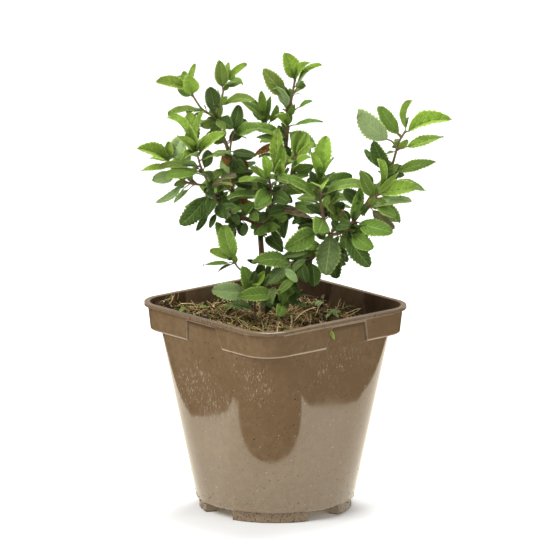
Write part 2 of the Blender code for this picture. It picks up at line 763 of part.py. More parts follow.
def smooth_route(points):
    """A long route gets one more point between each two, off a smooth curve through them."""
    if len(points) < 5:
        return points
    ends = [2 * points[0] - points[1], *points, 2 * points[-1] - points[-2]]
    route = [points[0]]
    for before, start, end, after in zip(ends, ends[1:], ends[2:], ends[3:]):
        route.append((9 * (start + end) - before - after) / 16)
        route.append(end)
    return route


def point_along(route, part):
    """The point and direction at this part of a route's length."""
    lengths = [(b - a).length for a, b in zip(route, route[1:])]
    left = part * sum(lengths)
    for (start, end), length in zip(zip(route, route[1:]), lengths):
        if left <= length or end is route[-1]:
            return start.lerp(end, min(1.0, left / length)), (end - start).normalized()
        left -= length


def tube(name, points, radii, resolution=1):
    """A closed tube along points, with its own radius at each, made from a curve."""
    data = bpy.data.curves.new(name, "CURVE")
    data.dimensions = "3D"
    data.bevel_depth = MM
    data.bevel_resolution = resolution
    data.use_fill_caps = True
    spline = data.splines.new("POLY")
    spline.points.add(len(points) - 1)
    for knot, point, radius in zip(spline.points, points, radii):
        knot.co = (*(point * MM), 1.0)
        knot.radius = radius
    guide = bpy.data.objects.new(name, data)
    bpy.context.scene.collection.objects.link(guide)
    bpy.context.view_layer.update()
    shape = guide.evaluated_get(bpy.context.evaluated_depsgraph_get())
    mesh = bpy.data.meshes.new_from_object(shape)
    bpy.data.objects.remove(guide, do_unlink=True)
    weld = bmesh.new()
    weld.from_mesh(mesh)
    bmesh.ops.remove_doubles(weld, verts=weld.verts[:], dist=1e-6)
    bmesh.ops.recalc_face_normals(weld, faces=weld.faces[:])
    weld.to_mesh(mesh)
    weld.free()
    return mesh


def blade_width(part):
    """Half of a blade's width at this part of its length, as a share of the widest."""
    return math.sin(math.pi * part**WIDEST) ** BLUNTNESS


def leaf_mesh(name, root, tip, width, face, stalk):
    """One leaf: a thin stalk from root, then a folded, arched blade with a notched edge."""
    span = tip - root
    length = span.length
    along = span / length
    normal = (face - along * face.dot(along)).normalized()
    across = along.cross(normal)

    def place(part, side, lift):
        arch = ARCH * length * math.sin(math.pi * part)
        return (root + along * (part * length) + across * side + normal * (arch + lift)) * MM

    shape = bmesh.new()

    def ring(part, half):
        offsets = ((-half, 0.0), (0.0, half), (half, 0.0), (0.0, -half))
        return [shape.verts.new(place(part, side, lift)) for side, lift in offsets]

    foot = ring(0.0, STALK_HALF)
    neck = ring(stalk, STALK_HALF)
    shape.faces.new(reversed(foot))
    for index in range(4):
        after = (index + 1) % 4
        shape.faces.new((foot[index], foot[after], neck[after], neck[index]))
    point = shape.verts.new(place(1.0, 0.0, 0.0))
    blade = 1.0 - stalk
    count, spine_count = next(detail for limit, *detail in BLADE_DETAIL if width < limit)
    spine = {1: [neck[1]], -1: [neck[3]]}
    for step in range(1, spine_count + 1):
        part = stalk + blade * step / (spine_count + 1)
        for face_side in (1, -1):
            lift = face_side * LEAF_THICK / 2
            spine[face_side].append(shape.verts.new(place(part, 0.0, lift)))
    for side, start in ((-1, neck[0]), (1, neck[2])):
        edge = [start]
        for step in range(1, count + 1):
            part = step / (count + 1)
            half = width / 2 * blade_width(part) * (1.0 - NOTCH * (step % 2 == 0))
            spot = place(stalk + blade * part, side * half, half * FOLD)
            edge.append(shape.verts.new(spot))
        for face_side in (1, -1):
            fill_strip(shape, edge, spine[face_side], point, side * face_side > 0)
    mesh = bpy.data.meshes.new(name)
    bmesh.ops.recalc_face_normals(shape, faces=shape.faces[:])
    shape.to_mesh(mesh)
    shape.free()
    return mesh


def fill_strip(shape, edge, spine, point, turned):
    """Triangles between a blade's edge and its spine, which meet at its point."""
    outer = [*edge, point]
    inner = [*spine, point]
    i = 0
    j = 0
    while i < len(outer) - 1 or j < len(inner) - 1:
        outer_part = (i + 1) / (len(outer) - 1)
        inner_part = (j + 1) / (len(inner) - 1)
        if j == len(inner) - 1 or (i < len(outer) - 1 and outer_part <= inner_part):
            corners = [outer[i], outer[i + 1], inner[j]]
            i += 1
        else:
            corners = [outer[i], inner[j + 1], inner[j]]
            j += 1
        if len(set(corners)) < 3:
            continue
        shape.faces.new(reversed(corners) if turned else corners)


def hidden_leaves(route, count, draw):
    """Leaves for the side of a shoot that faces away, spread evenly with random turns."""
    first, last = HIDDEN_START
    for index in range(count):
        part = first + (last - first) * (index + 0.5 * draw.random()) / count
        root, _ = point_along(route, part)
        side = 1.0 if index % 2 else -1.0
        turn = HIDDEN_SPREAD * side * draw.uniform(*HIDDEN_TURN)
        lift = draw.uniform(*HIDDEN_LIFT)
        way = Vector((math.sin(turn), math.cos(turn), lift))
        length = draw.uniform(*HIDDEN_LENGTH)
        width = length * draw.uniform(*HIDDEN_SHAPE)
        yield root, root + seen_direction(way) * length, width, seen_direction(HIDDEN_FACING)


def shoot_parts(name, shoot, draw):
    """The meshes of a shoot: its stem and every leaf, each rooted inside the stem."""
    route = smooth_route([seen(*point) for point in shoot["route"]])
    start, end = shoot["thick"]
    steps = len(route) - 1
    radii = [start + (end - start) * index / steps for index in range(steps + 1)]
    yield tube(name, route, radii, 0 if start < THIN_STEM else 1)
    for part, right, rise, away, width, facing, stalk in shoot["leaves"]:
        root, _ = point_along(route, part)
        face = seen_direction(sum((FACING[letter] for letter in facing), Vector()))
        yield leaf_mesh(name, root, seen(right, rise, away), width, face, stalk)
    for root, tip, width, face in hidden_leaves(route, shoot["hidden"], draw):
        yield leaf_mesh(name, root, tip, width, face, HIDDEN_STALK)


def keep_largest_body(shape):
    """Remove loose scraps and the skins of sealed hollows: all but the biggest joined piece."""
    left = set(shape.verts)
    pieces = []
    while left:
        piece = set()
        reach = [left.pop()]
        while reach:
            vert = reach.pop()
            piece.add(vert)
            for edge in vert.link_edges:
                other = edge.other_vert(vert)
                if other in left:
                    left.remove(other)
                    reach.append(other)
        pieces.append(piece)
    pieces.sort(key=len)
    extra = [vert for piece in pieces[:-1] for vert in piece]
    bmesh.ops.delete(shape, geom=extra, context="VERTS")


def join_all(name, meshes, collection, material):
    """Unite meshes into one body with a Boolean on a collection, and drop loose scraps."""
    first, *rest = meshes
    body = add_object(name, first, collection)
    joined = bpy.data.collections.new(name + "_repeats")
    bpy.context.scene.collection.children.link(joined)
    for index, mesh in enumerate(rest):
        joined.objects.link(bpy.data.objects.new(f"{name}_{index}", mesh))
    union = body.modifiers.new("union", "BOOLEAN")
    union.operation = "UNION"
    union.operand_type = "COLLECTION"
    union.collection = joined
    union.solver = "EXACT"
    settle(body)
    for repeat in list(joined.objects):
        bpy.data.objects.remove(repeat, do_unlink=True)
    bpy.data.collections.remove(joined)
    shape = bmesh.new()
    shape.from_mesh(body.data)
    keep_largest_body(shape)
    bmesh.ops.triangulate(shape, faces=shape.faces[:])
    shape.to_mesh(body.data)
    shape.free()
    body.data.materials.clear()
    body.data.materials.append(material)


def make_stems(collection, material):
    """Each leafy stem: all the shoots of one node, fused."""
    nodes = {}
    draw = random.Random(SEED)
    for name, shoot in SHOOTS.items():
        parts = list(shoot_parts(name, shoot, draw))
        nodes.setdefault(shoot["node"], []).extend(parts)
    for node, parts in nodes.items():
        join_all(node, parts, collection, material)


def buried_stems():
    """The stems that enter the soil, each as a name, points and radii, from just below its end."""
    for name in ("trunk", "right_branch", "low_shoot"):
        shoot = SHOOTS[name]
        route = smooth_route([seen(*point) for point in shoot["route"]])[:3]
        below = route[0] + (route[0] - route[1]).normalized() * STEM_CLEARANCE
        yield name, [below, *route], [shoot["thick"][0]] * (len(route) + 1)


def main():
    remove_everything()
    parts = new_collection("potted_baby_sage")
    cutters = new_collection("cutters")
    plastic = make_material("pot_plastic", (0.22, 0.15, 0.10), 0.35)
    peat = make_material("soil", (0.04, 0.025, 0.015), 0.95)
    foliage = make_material("foliage", (0.10, 0.19, 0.05), 0.55)
    make_pot(parts, cutters, plastic)
    make_soil(parts, cutters, peat, buried_stems())
    make_stems(parts, foliage)


main()
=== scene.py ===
# A young baby sage in a taupe nursery pot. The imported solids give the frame, and this script gives
# the looks: a finer pot, soil with its litter, and stems and leaves with teeth, veins and colour.
import math
import random

import bmesh
import bpy
from mathutils import Matrix, Vector, noise


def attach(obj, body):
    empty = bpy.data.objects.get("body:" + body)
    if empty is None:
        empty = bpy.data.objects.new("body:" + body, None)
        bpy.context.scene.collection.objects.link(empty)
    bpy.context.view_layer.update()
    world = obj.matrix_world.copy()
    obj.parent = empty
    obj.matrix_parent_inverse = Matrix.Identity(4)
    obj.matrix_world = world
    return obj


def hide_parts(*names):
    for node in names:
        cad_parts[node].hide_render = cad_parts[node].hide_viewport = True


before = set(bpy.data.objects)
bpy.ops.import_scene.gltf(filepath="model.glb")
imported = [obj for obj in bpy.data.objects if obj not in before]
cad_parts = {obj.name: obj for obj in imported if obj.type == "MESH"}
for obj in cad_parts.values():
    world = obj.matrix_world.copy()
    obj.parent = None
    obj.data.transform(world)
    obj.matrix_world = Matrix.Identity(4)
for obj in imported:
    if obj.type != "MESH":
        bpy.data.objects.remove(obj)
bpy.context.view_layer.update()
mm = 0.001
seenTurn = math.radians(49.3)  # the picture looks from this far round the pot's front
seenRise = math.radians(13.2)  # and from this high above level
print("frame loaded")


# Small helpers for colours, node trees and finished pieces
def paint(red, green, blue):
    # a colour in 0 to 255 steps as Blender's linear one
    return tuple(((step / 255 + 0.055) / 1.055) ** 2.4 for step in (red, green, blue)) + (1.0,)


def addNode(tree, kind, sockets=None, **settings):
    node = tree.nodes.new(kind)
    for name, value in settings.items():
        setattr(node, name, value)
    for key, value in (sockets or {}).items():
        if isinstance(value, bpy.types.NodeSocket):
            tree.links.new(value, node.inputs[key])
        else:
            node.inputs[key].default_value = value
    return node


def maths(tree, operation, *values):
    return addNode(tree, "ShaderNodeMath", dict(enumerate(values)), operation=operation).outputs[0]


def times(tree, *values):
    result = values[0]
    for value in values[1:]:
        result = maths(tree, "MULTIPLY", result, value)
    return result


def plus(tree, *values):
    result = values[0]
    for value in values[1:]:
        result = maths(tree, "ADD", result, value)
    return result


def joined(tree, *steps):
    # a vector from its three parts, where one that isn't given is 0
    return addNode(tree, "ShaderNodeCombineXYZ", dict(enumerate(steps))).outputs[0]


def partsOf(tree, vector):
    return addNode(tree, "ShaderNodeSeparateXYZ", {0: vector}).outputs


def scaled(tree, vector, factor):
    return addNode(tree, "ShaderNodeVectorMath", {0: vector, 3: factor}, operation="SCALE").outputs[0]


def vectorMaths(tree, operation, *values):
    node = addNode(tree, "ShaderNodeVectorMath", operation=operation)
    for socket, value in zip([s for s in node.inputs if s.enabled], values):
        if isinstance(value, bpy.types.NodeSocket):
            tree.links.new(value, socket)
        else:
            socket.default_value = value
    return next(socket for socket in node.outputs if socket.enabled)


def blend(tree, factor, first, second, how="MIX"):
    node = addNode(tree, "ShaderNodeMix", {0: factor, 6: first, 7: second}, data_type="RGBA", blend_type=how)
    return node.outputs[2]


def spread(tree, value, low, high, newLow=0.0, newHigh=1.0, smooth=False):
    how = "SMOOTHSTEP" if smooth else "LINEAR"
    sockets = {0: value, 1: low, 2: high, 3: newLow, 4: newHigh}
    return addNode(tree, "ShaderNodeMapRange", sockets, interpolation_type=how).outputs[0]


def cloud(tree, place, scale, detail=3.0, rough=0.5, output=0):
    sockets = {"Vector": place, "Scale": scale, "Detail": detail, "Roughness": rough}
    return addNode(tree, "ShaderNodeTexNoise", sockets).outputs[output]


def ownPlace(tree):
    return addNode(tree, "ShaderNodeTexCoord").outputs["Object"]


def readAttribute(tree, name, output="Fac"):
    return addNode(tree, "ShaderNodeAttribute", attribute_name=name).outputs[output]


def newMaterial(name, roughness, **constants):
    # a material with its Principled shader; constants are set on the shader's own sockets
    material = bpy.data.materials.new(name)
    material.use_nodes = True
    shader = material.node_tree.nodes["Principled BSDF"]
    shader.inputs["Roughness"].default_value = roughness
    for socket, value in constants.items():
        shader.inputs[socket.replace("_", " ")].default_value = value
    return material, material.node_tree, shader


def addBump(tree, shader, height, strength, distance):
    bump = addNode(tree, "ShaderNodeBump", {"Height": height, "Strength": strength, "Distance": distance})
    tree.links.new(bump.outputs[0], shader.inputs["Normal"])


def toMesh(shape, name, smooth=False):
    # a shape in the making as a finished mesh
    mesh = bpy.data.meshes.new(name)
    shape.to_mesh(mesh)
    shape.free()
    if smooth:
        smoothFaces(mesh)
    return mesh


def joinLoops(shape, lower, upper):
    # a band of faces between two closed loops of corners
    for index in range(len(lower)):
        after = (index + 1) % len(lower)
        shape.faces.new((lower[index], lower[after], upper[after], upper[index]))


def smoothFaces(mesh):
    mesh.polygons.foreach_set("use_smooth", [True] * len(mesh.polygons))


def markPoints(mesh, label, values, kind="FLOAT"):
    field = "vector" if kind == "FLOAT_VECTOR" else "value"
    mesh.attributes.new(label, kind, "POINT").data.foreach_set(field, values)


def newPiece(name, mesh, material=None):
    piece = bpy.data.objects.new(name, mesh)
    bpy.context.scene.collection.objects.link(piece)
    if material is not None:
        mesh.materials.clear()
        mesh.materials.append(material)
    return piece


def pointValue(tree, name, kind="FLOAT"):
    # what a geometry tree reads from its points
    node = addNode(tree, "GeometryNodeInputNamedAttribute", {"Name": name}, data_type=kind)
    return node.outputs["Attribute"]


def newTree(name, inputs):
    tree = bpy.data.node_groups.new(name, "GeometryNodeTree")
    for label, kind, value in [("Geometry", "Geometry", None), *inputs]:
        socket = tree.interface.new_socket(label, in_out="INPUT", socket_type="NodeSocket" + kind)
        if value is not None:
            socket.default_value = value
    tree.interface.new_socket("Geometry", in_out="OUTPUT", socket_type="NodeSocketGeometry")
    return tree, tree.nodes.new("NodeGroupInput").outputs, tree.nodes.new("NodeGroupOutput").inputs[0]


def endTree(tree, given, geometry, out):
    done = addNode(tree, "GeometryNodeSetMaterial", {0: geometry, "Material": given["Material"]})
    tree.links.new(done.outputs[0], out)
    return tree


def applyTree(piece, tree, **values):
    # sets the inputs by their identifiers, and keeps the result as a plain mesh
    step = piece.modifiers.new(tree.name, "NODES")
    step.node_group = tree
    for socket in tree.interface.items_tree:
        key = socket.name.replace(" ", "_")
        if socket.in_out == "INPUT" and key in values:
            step[socket.identifier] = values[key]
    settle(piece)


def settle(piece):
    bpy.context.view_layer.update()
    shape = piece.evaluated_get(bpy.context.evaluated_depsgraph_get())
    mesh = bpy.data.meshes.new_from_object(shape)
    piece.modifiers.clear()
    piece.data = mesh


def dressNode(piece, slotName, *nodes):
    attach(piece, "root")
    if nodes:
        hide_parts(*nodes)


def seen(right, rise, away):
    # a point given as the picture shows it, in the pot's own millimetres
    up = (rise - away * math.sin(seenRise)) / math.cos(seenRise)
    return Matrix.Rotation(seenTurn, 3, "Z") @ Vector((right, away, up))


def seenDirection(direction):
    return (Matrix.Rotation(seenTurn, 3, "Z") @ Vector(direction)).normalized()


# Camera, floor and lights
viewing = {"distance": 6.0, "widthSeen": 0.3512, "aimRight": 0.8, "aimRise": 145.4}


def makeCamera():
    camera = bpy.data.objects.new("camera", bpy.data.cameras.new("camera"))
    bpy.context.scene.collection.objects.link(camera)
    back = seenDirection((0, -math.cos(seenRise), math.sin(seenRise)))
    camera.location = seen(viewing["aimRight"], viewing["aimRise"], 0) * mm + back * viewing["distance"]
    camera.rotation_mode = "QUATERNION"
    camera.rotation_quaternion = (-back).to_track_quat("-Z", "Y")
    camera.data.sensor_width = 36.0
    camera.data.lens = 36.0 * viewing["distance"] / viewing["widthSeen"]
    camera.data.clip_end = 40.0
    bpy.context.scene.camera = camera


studio = {
    "floorSize": 6.0,
    "floorColour": (0.86, 0.86, 0.85, 1.0),
    "skyColour": (1.0, 1.0, 1.0, 1.0),
    "skyStrength": 0.42,
    # name: place as the picture shows it (right, away, up in metres), size, power
    "lamps": {
        "keyLamp": ((-1.5, -1.2, 2.0), 1.2, 62.0),
        "fillLamp": ((1.8, -1.2, 1.3), 1.4, 14.0),
        "topLamp": ((0.2, 0.6, 2.4), 1.2, 70.0),
    },
    # what the glossy wall mirrors, the lit table top and the dim room past its edges: corners (right
    # and away in metres), level, colour and strength
    "cards": {
        "litTable": (((-0.209, 0.6), (-0.209, -0.06), (-0.17, -0.096), (0.172, -0.127), (0.19, -0.1),
                      (0.228, -0.045), (0.24, 0.0), (0.24, 0.6)), 0.0006, (1.0, 0.945, 0.79, 1.0), 1.8),
        "dimRoom": (((-2.5, -2.5), (2.5, -2.5), (2.5, 0.6), (-2.5, 0.6)), 0.0003,
                    (1.0, 0.9, 0.8, 1.0), 0.02),
    },
    "aim": (0.0, 0.0, 0.15),
}


def glowMaterial(name, colour, strength):
    material = bpy.data.materials.new(name)
    material.use_nodes = True
    tree = material.node_tree
    tree.nodes.clear()
    glow = addNode(tree, "ShaderNodeEmission", {"Color": colour, "Strength": strength})
    out = tree.nodes.new("ShaderNodeOutputMaterial")
    tree.links.new(glow.outputs[0], out.inputs["Surface"])
    return material


def addCard(name, points, colour, strength):
    # a card that only reflections show, as a studio flag does
    card = bmesh.new()
    card.faces.new([card.verts.new(point) for point in points])
    piece = newPiece(name, toMesh(card, name), glowMaterial(name, colour, strength))
    piece.visible_camera = False
    piece.visible_diffuse = False
    piece.visible_transmission = False
    piece.visible_shadow = False


def makeStage():
    half = studio["floorSize"]
    corners = [(-half, -half, 0), (half, -half, 0), (half, half, 0), (-half, half, 0)]
    mesh = bpy.data.meshes.new("floor")
    mesh.from_pydata(corners, [], [(0, 1, 2, 3)])
    material, _, shader = newMaterial("paleFloor", 0.9)
    shader.inputs["Base Color"].default_value = studio["floorColour"]
    newPiece("floor", mesh, material)
    sky = bpy.data.worlds.new("paleRoom")
    sky.use_nodes = True
    sky.node_tree.nodes["Background"].inputs[0].default_value = studio["skyColour"]
    sky.node_tree.nodes["Background"].inputs[1].default_value = studio["skyStrength"]
    bpy.context.scene.world = sky
    turn = Matrix.Rotation(seenTurn, 3, "Z")
    for name, (place, size, power) in studio["lamps"].items():
        lamp = bpy.data.lights.new(name, "AREA")
        lamp.shape = "SQUARE"
        lamp.size = size
        lamp.energy = power
        piece = bpy.data.objects.new(name, lamp)
        bpy.context.scene.collection.objects.link(piece)
        piece.location = turn @ Vector(place)
        aim = Vector(studio["aim"]) - piece.location
        piece.rotation_mode = "QUATERNION"
        piece.rotation_quaternion = aim.to_track_quat("-Z", "Y")
    for name, (corners, level, colour, strength) in studio["cards"].items():
        addCard(name, [turn @ Vector((x, y, level)) for x, y in corners], colour, strength)
    bpy.context.scene.view_settings.view_transform = "Standard"


makeCamera()
makeStage()
print("camera, floor and lights made")

# Pot: thin moulded plastic, square at the rim and round at the base, in millimetres
pot = {
    "rimTop": 132.5, "lipHalf": 65.0, "lipCorner": 20.0, "lipHeight": 2.5,
    "collarHalfTop": 62.8, "collarHalfFoot": 61.7, "collarCorner": 18.0, "collarFoot": 116.2,
    "wallTop": 114.6, "wallHalfTop": 60.8, "wallCornerTop": 31.5,
    "baseRadius": 49.8, "baseFlat": 1.5, "baseLevel": 6.8, "thick": 1.3,
    "recessHalfTop": 61.1, "recessHalfFoot": 60.85, "recessTop": 127.6, "recessFoot": 114.65,
    # each side's recess: its two ends at the top, then at the foot
    "recesses": ((-6.0, 21.0, -10.0, 24.0), (-14.0, 14.0, -19.0, 18.0),
                 (-6.0, 21.0, -10.0, 24.0), (-13.0, 14.0, -14.0, 20.0)),
    "footOuter": 48.4, "footDepth": 8.0, "footGap": 31.0,
    "drainRadius": 4.5, "drainRing": 30.0,
    "cornerSteps": 22, "edgeSlope": 0.45,
    # how the panels' lower edge rounds under: level, and how far in
    "panelRound": ((114.75, 0.78), (114.85, 0.5), (115.1, 0.2), (115.5, 0.05)),
    # the rounded lip outside and in: how far below the top, and how far in
    "lipRound": ((2.5, 0.4), (2.3, 0.1), (2.0, 0.0), (0.6, 0.0), (0.25, 0.12), (0.06, 0.4), (0.0, 0.8)),
    "lipInside": ((0.0, 0.3), (0.15, 0.05), (0.6, -0.1)),
    "collarLevels": (120.0, 124.0), "innerLevels": (90.0, 50.0),
}


def potRing(level, half, corner, deep=None, grow=0.0):
    # one level of the pot; where deep is given, the recesses go in to that half side
    inset = half - corner
    width = inset / (pot["collarHalfFoot"] - pot["collarCorner"])
    part = (level - pot["recessFoot"]) / (pot["recessTop"] - pot["recessFoot"])
    part = min(1.0, max(0.0, part))
    inner = half if deep is None else deep
    slope = pot["edgeSlope"]
    points = []
    for side, (nearTop, farTop, nearFoot, farFoot) in enumerate(pot["recesses"]):
        near = (nearFoot + (nearTop - nearFoot) * part - grow) * width
        far = (farFoot + (farTop - farFoot) * part + grow) * width
        slant = slope * width
        flat = [(half, near - slant - 0.45), (half, near - slant), (inner, near + slant),
                (inner, near + slant + 0.5 * width), (inner, far - slant - 0.5 * width),
                (inner, far - slant), (half, far + slant), (half, far + slant + 0.45)]
        for step in range(pot["cornerSteps"] + 1):
            angle = step * math.pi / 2 / pot["cornerSteps"]
            flat.append((inset + corner * math.cos(angle), inset + corner * math.sin(angle)))
        turn = Matrix.Rotation(side * math.pi / 2, 3, "Z")
        points += [turn @ Vector((x, y, level)) for x, y in flat]
    return points


def wallSize(level):
    part = (level - pot["baseLevel"]) / (pot["wallTop"] - pot["baseLevel"])
    half = pot["baseRadius"] + (pot["wallHalfTop"] - pot["baseRadius"]) * part
    foot = pot["baseRadius"] - pot["baseFlat"]
    return half, foot + (pot["wallCornerTop"] - foot) * part


def collarHalf(level):
    foot = pot["collarHalfFoot"]
    if level > pot["collarFoot"] - 0.01:
        rise = (pot["collarHalfTop"] - foot) / (pot["rimTop"] - pot["lipHeight"] - pot["collarFoot"])
        return foot + rise * (level - pot["collarFoot"])
    return foot - next(inset for edge, inset in pot["panelRound"] if level < edge + 0.01)


def recessDepth(level):
    part = (level - pot["recessFoot"]) / (pot["recessTop"] - pot["recessFoot"])
    return pot["recessHalfFoot"] + (pot["recessHalfTop"] - pot["recessHalfFoot"]) * part


def potRings():
    # from the middle of the base, up the outside, over the lip and down the inside
    rings = []
    base, top, thick = pot["baseLevel"], pot["rimTop"], pot["thick"]
    half, corner = wallSize(base)
    rings.append(potRing(base, half - 0.5, corner - 0.5))
    for step in range(10):
        level = base + 0.5 + (pot["wallTop"] - base - 1.0) * (step / 9)
        rings.append(potRing(level, *wallSize(level)))
    rings.append(potRing(pot["wallTop"] - 0.1, *wallSize(pot["wallTop"] - 0.1)))
    collar = pot["collarCorner"]
    foot = pot["collarHalfFoot"]
    edges = [level for level, _ in pot["panelRound"]]
    for level in (*edges, pot["collarFoot"], *pot["collarLevels"], pot["recessTop"]):
        half = collarHalf(level)
        rings.append(potRing(level, half, collar, min(half, recessDepth(level))))
    lip = top - pot["lipHeight"]
    for level in (pot["recessTop"] + pot["edgeSlope"], lip - 0.5):
        rings.append(potRing(level, collarHalf(level), collar))
    rings.append(potRing(lip - 0.1, pot["collarHalfTop"] + 0.25, collar + 0.1))
    for down, out in pot["lipRound"]:
        rings.append(potRing(top - down, pot["lipHalf"] - out, pot["lipCorner"] - out))
    innerFrom = len(rings) + 2
    innerTop = pot["collarHalfTop"] - thick
    for down, out in pot["lipInside"]:
        rings.append(potRing(top - down, innerTop + out, collar - 1.0, None, thick))
    for level, half, ease in ((pot["recessTop"], innerTop - 0.3, 0.5),
                              (pot["collarLevels"][1], innerTop - 0.5, 0.1),
                              (pot["collarFoot"] + thick, foot - thick, 0.0)):
        rings.append(potRing(level, half, collar - 1.0, recessDepth(level) - thick + ease, thick))
    for level in (pot["wallTop"], *pot["innerLevels"], base + thick + 0.6):
        half, corner = wallSize(level)
        rings.append(potRing(level, half - thick, corner - thick))
    half, corner = wallSize(base + thick)
    rings.append(potRing(base + thick, half - thick - 0.6, corner - thick - 0.6))
    return rings, innerFrom


def ringMesh(name, rings, innerFrom=1000):
    # a closed mesh through rings of equal length, with a flat face at each end; the inner
    # attribute is 1 from the ring that innerFrom numbers
    shape = bmesh.new()
    inner = shape.verts.layers.float.new("inner")
    loops = [[shape.verts.new(Vector(point) * mm) for point in ring] for ring in rings]
    for number, loop in enumerate(loops):
        for vert in loop:
            vert[inner] = 1.0 if number >= innerFrom else 0.0
    for lower, upper in zip(loops, loops[1:]):
        joinLoops(shape, lower, upper)
    shape.faces.new(list(reversed(loops[0])))
    shape.faces.new(loops[-1])
    bmesh.ops.remove_doubles(shape, verts=shape.verts[:], dist=1e-6)
    bmesh.ops.recalc_face_normals(shape, faces=shape.faces[:])
    return toMesh(shape, name)


def markEdges(mesh):
    # edge: 1 along the lower edges and the ends of the collar's panels, where a pale highlight and wear are
    # painted;
    # the other mark: 1 in the corners beside and below them and under the lip, for painted shade with the
    # dirt that collects there
    slope, top = pot["edgeSlope"], pot["recessTop"] + pot["edgeSlope"]
    lip, foot = pot["rimTop"] - pot["lipHeight"], 114.7  # foot: just under the panels' lower edge
    values, shadesAndDirt = [], []
    inner = mesh.attributes["inner"].data
    for vert in mesh.vertices:
        spot = vert.co / mm
        side = round(math.atan2(spot.y, spot.x) / (math.pi / 2)) % 4
        local = Matrix.Rotation(-side * math.pi / 2, 3, "Z") @ spot
        nearTop, farTop, nearFoot, farFoot = pot["recesses"][side]
        part = min(1.0, max(0.0, (spot.z - pot["recessFoot"]) / (pot["recessTop"] - pot["recessFoot"])))
        if spot.z > foot:
            inset = collarHalf(min(spot.z, lip)) - pot["collarCorner"]
        else:
            half, corner = wallSize(max(spot.z, pot["baseLevel"]))
            inset = half - corner
        width = inset / (pot["collarHalfFoot"] - pot["collarCorner"])
        near = (nearFoot + (nearTop - nearFoot) * part - slope) * width
        far = (farFoot + (farTop - farFoot) * part + slope) * width
        onPanel = not near + 0.1 < local.y < far - 0.1
        low = foot < spot.z < foot + 0.9 and onPanel
        end = foot < spot.z < top + 0.1 and min(abs(local.y - near), abs(local.y - far)) < 0.25
        over = abs(spot.z - top) < 0.1 and not onPanel
        # painted shade, with dirt, in the corners beside the panels' ends, along the recesses' top, under the
        # panels and under the lip
        beside = min(abs(local.y - near - 2 * slope), abs(local.y - far + 2 * slope)) < 0.15
        crease = foot < spot.z < pot["recessTop"] + 0.1 and beside
        crease = crease or abs(spot.z - pot["recessTop"]) < 0.1 and not onPanel
        crease = crease or abs(spot.z - pot["wallTop"] + 0.1) < 0.1 and onPanel
        crease = crease or abs(spot.z - lip + 0.1) < 0.05
        shadesAndDirt.append(1.0 if crease and inner[vert.index].value < 0.5 else 0.0)
        if inner[vert.index].value > 0.5:
            values.append(1.0 if spot.z > 116 and min(abs(local.y - near), abs(local.y - far)) < 0.9 else 0.0)
        else:
            values.append(1.0 if low or end or over else 0.0)
    markPoints(mesh, "edge", values)
    markPoints(mesh, "crease", shadesAndDirt)


def footMesh(side):
    # a foot is an arc under the base, its outer lower edge a little rounded
    start = math.radians(side * 90.0 + pot["footGap"] / 2)
    sweep = math.radians(90.0 - pot["footGap"])
    outer, inner = pot["footOuter"], pot["footOuter"] - pot["footDepth"]
    rings = []
    for level, shrink in ((0.0, 0.5), (0.5, 0.0), (pot["baseLevel"] + 0.6, 0.0)):
        ring = []
        for radius, steps in ((outer - shrink, range(17)), (inner + shrink, range(16, -1, -1))):
            for step in steps:
                angle = start + shrink / outer + (sweep - 2 * shrink / outer) * step / 16
                ring.append((radius * math.cos(angle), radius * math.sin(angle), level))
        rings.append(ring)
    return ringMesh("foot", rings)


def makePot(material):
    rings, innerFrom = potRings()
    body = newPiece("nursery_pot", ringMesh("nursery_pot", rings, innerFrom))
    markEdges(body.data)
    cutters = []
    for side in range(4):
        cutters.append((newPiece(f"foot_{side}", footMesh(side)), "UNION"))
        shape = bmesh.new()
        turn = math.radians(45.0 + 90.0 * side)
        ring = pot["drainRing"] * mm
        place = Matrix.Translation((ring * math.cos(turn), ring * math.sin(turn), pot["baseLevel"] * mm))
        size = pot["drainRadius"] * mm
        bmesh.ops.create_cone(shape, cap_ends=True, segments=40, radius1=size, radius2=size,
                              depth=12 * mm, matrix=place)
        cutters.append((newPiece(f"drain_{side}", toMesh(shape, "drain")), "DIFFERENCE"))
    for cutter, operation in cutters:
        step = body.modifiers.new(cutter.name, "BOOLEAN")
        step.object = cutter
        step.operation = operation
        step.solver = "EXACT"
    settle(body)
    for cutter, _ in cutters:
        bpy.data.objects.remove(cutter, do_unlink=True)
    body.data.materials.clear()
    body.data.materials.append(material)
    smoothFaces(body.data)
    body.data.set_sharp_from_angle(angle=math.radians(32))
    dressNode(body, "pot_plastic", "pot")
    return body


plastic = {
    # the soil colour also paints shade in the corners, the inside colour paints shade inside, and the edge
    # colour paints a pale highlight
    "colour": paint(105, 84, 60), "dustyColour": paint(136, 116, 87), "insideShadeAndDampColour": paint(92, 70, 50),
    "crustColour": paint(114, 92, 64), "paleHighlightAndWearColour": paint(168, 146, 116),
    "soilAndShadeColour": paint(56, 42, 29), "rustColour": paint(160, 96, 42), "chalkColour": paint(190, 180, 160),
    "roughness": 0.07,
    # specks: cells to a metre, size in a cell, share of the cells, colour, strength
    "specks": ((760.0, 0.3, 0.16, "soilAndShadeColour", 0.7), (520.0, 0.2, 0.06, "rustColour", 0.7),
               (640.0, 0.22, 0.04, "chalkColour", 0.5), (300.0, 0.18, 0.05, "soilAndShadeColour", 0.8),
               (330.0, 0.1, 0.03, "chalkColour", 0.9), (1300.0, 0.34, 0.12, "soilAndShadeColour", 0.5)),
    # levels in metres: where wipe marks begin and end, the dried soil's line, and the lip's top
    "wipedFrom": (0.055, 0.075), "wipedUpTo": (0.118, 0.1), "soilLine": (0.0055, 0.011),
    "lipLevels": (0.1294, 0.1302),
}


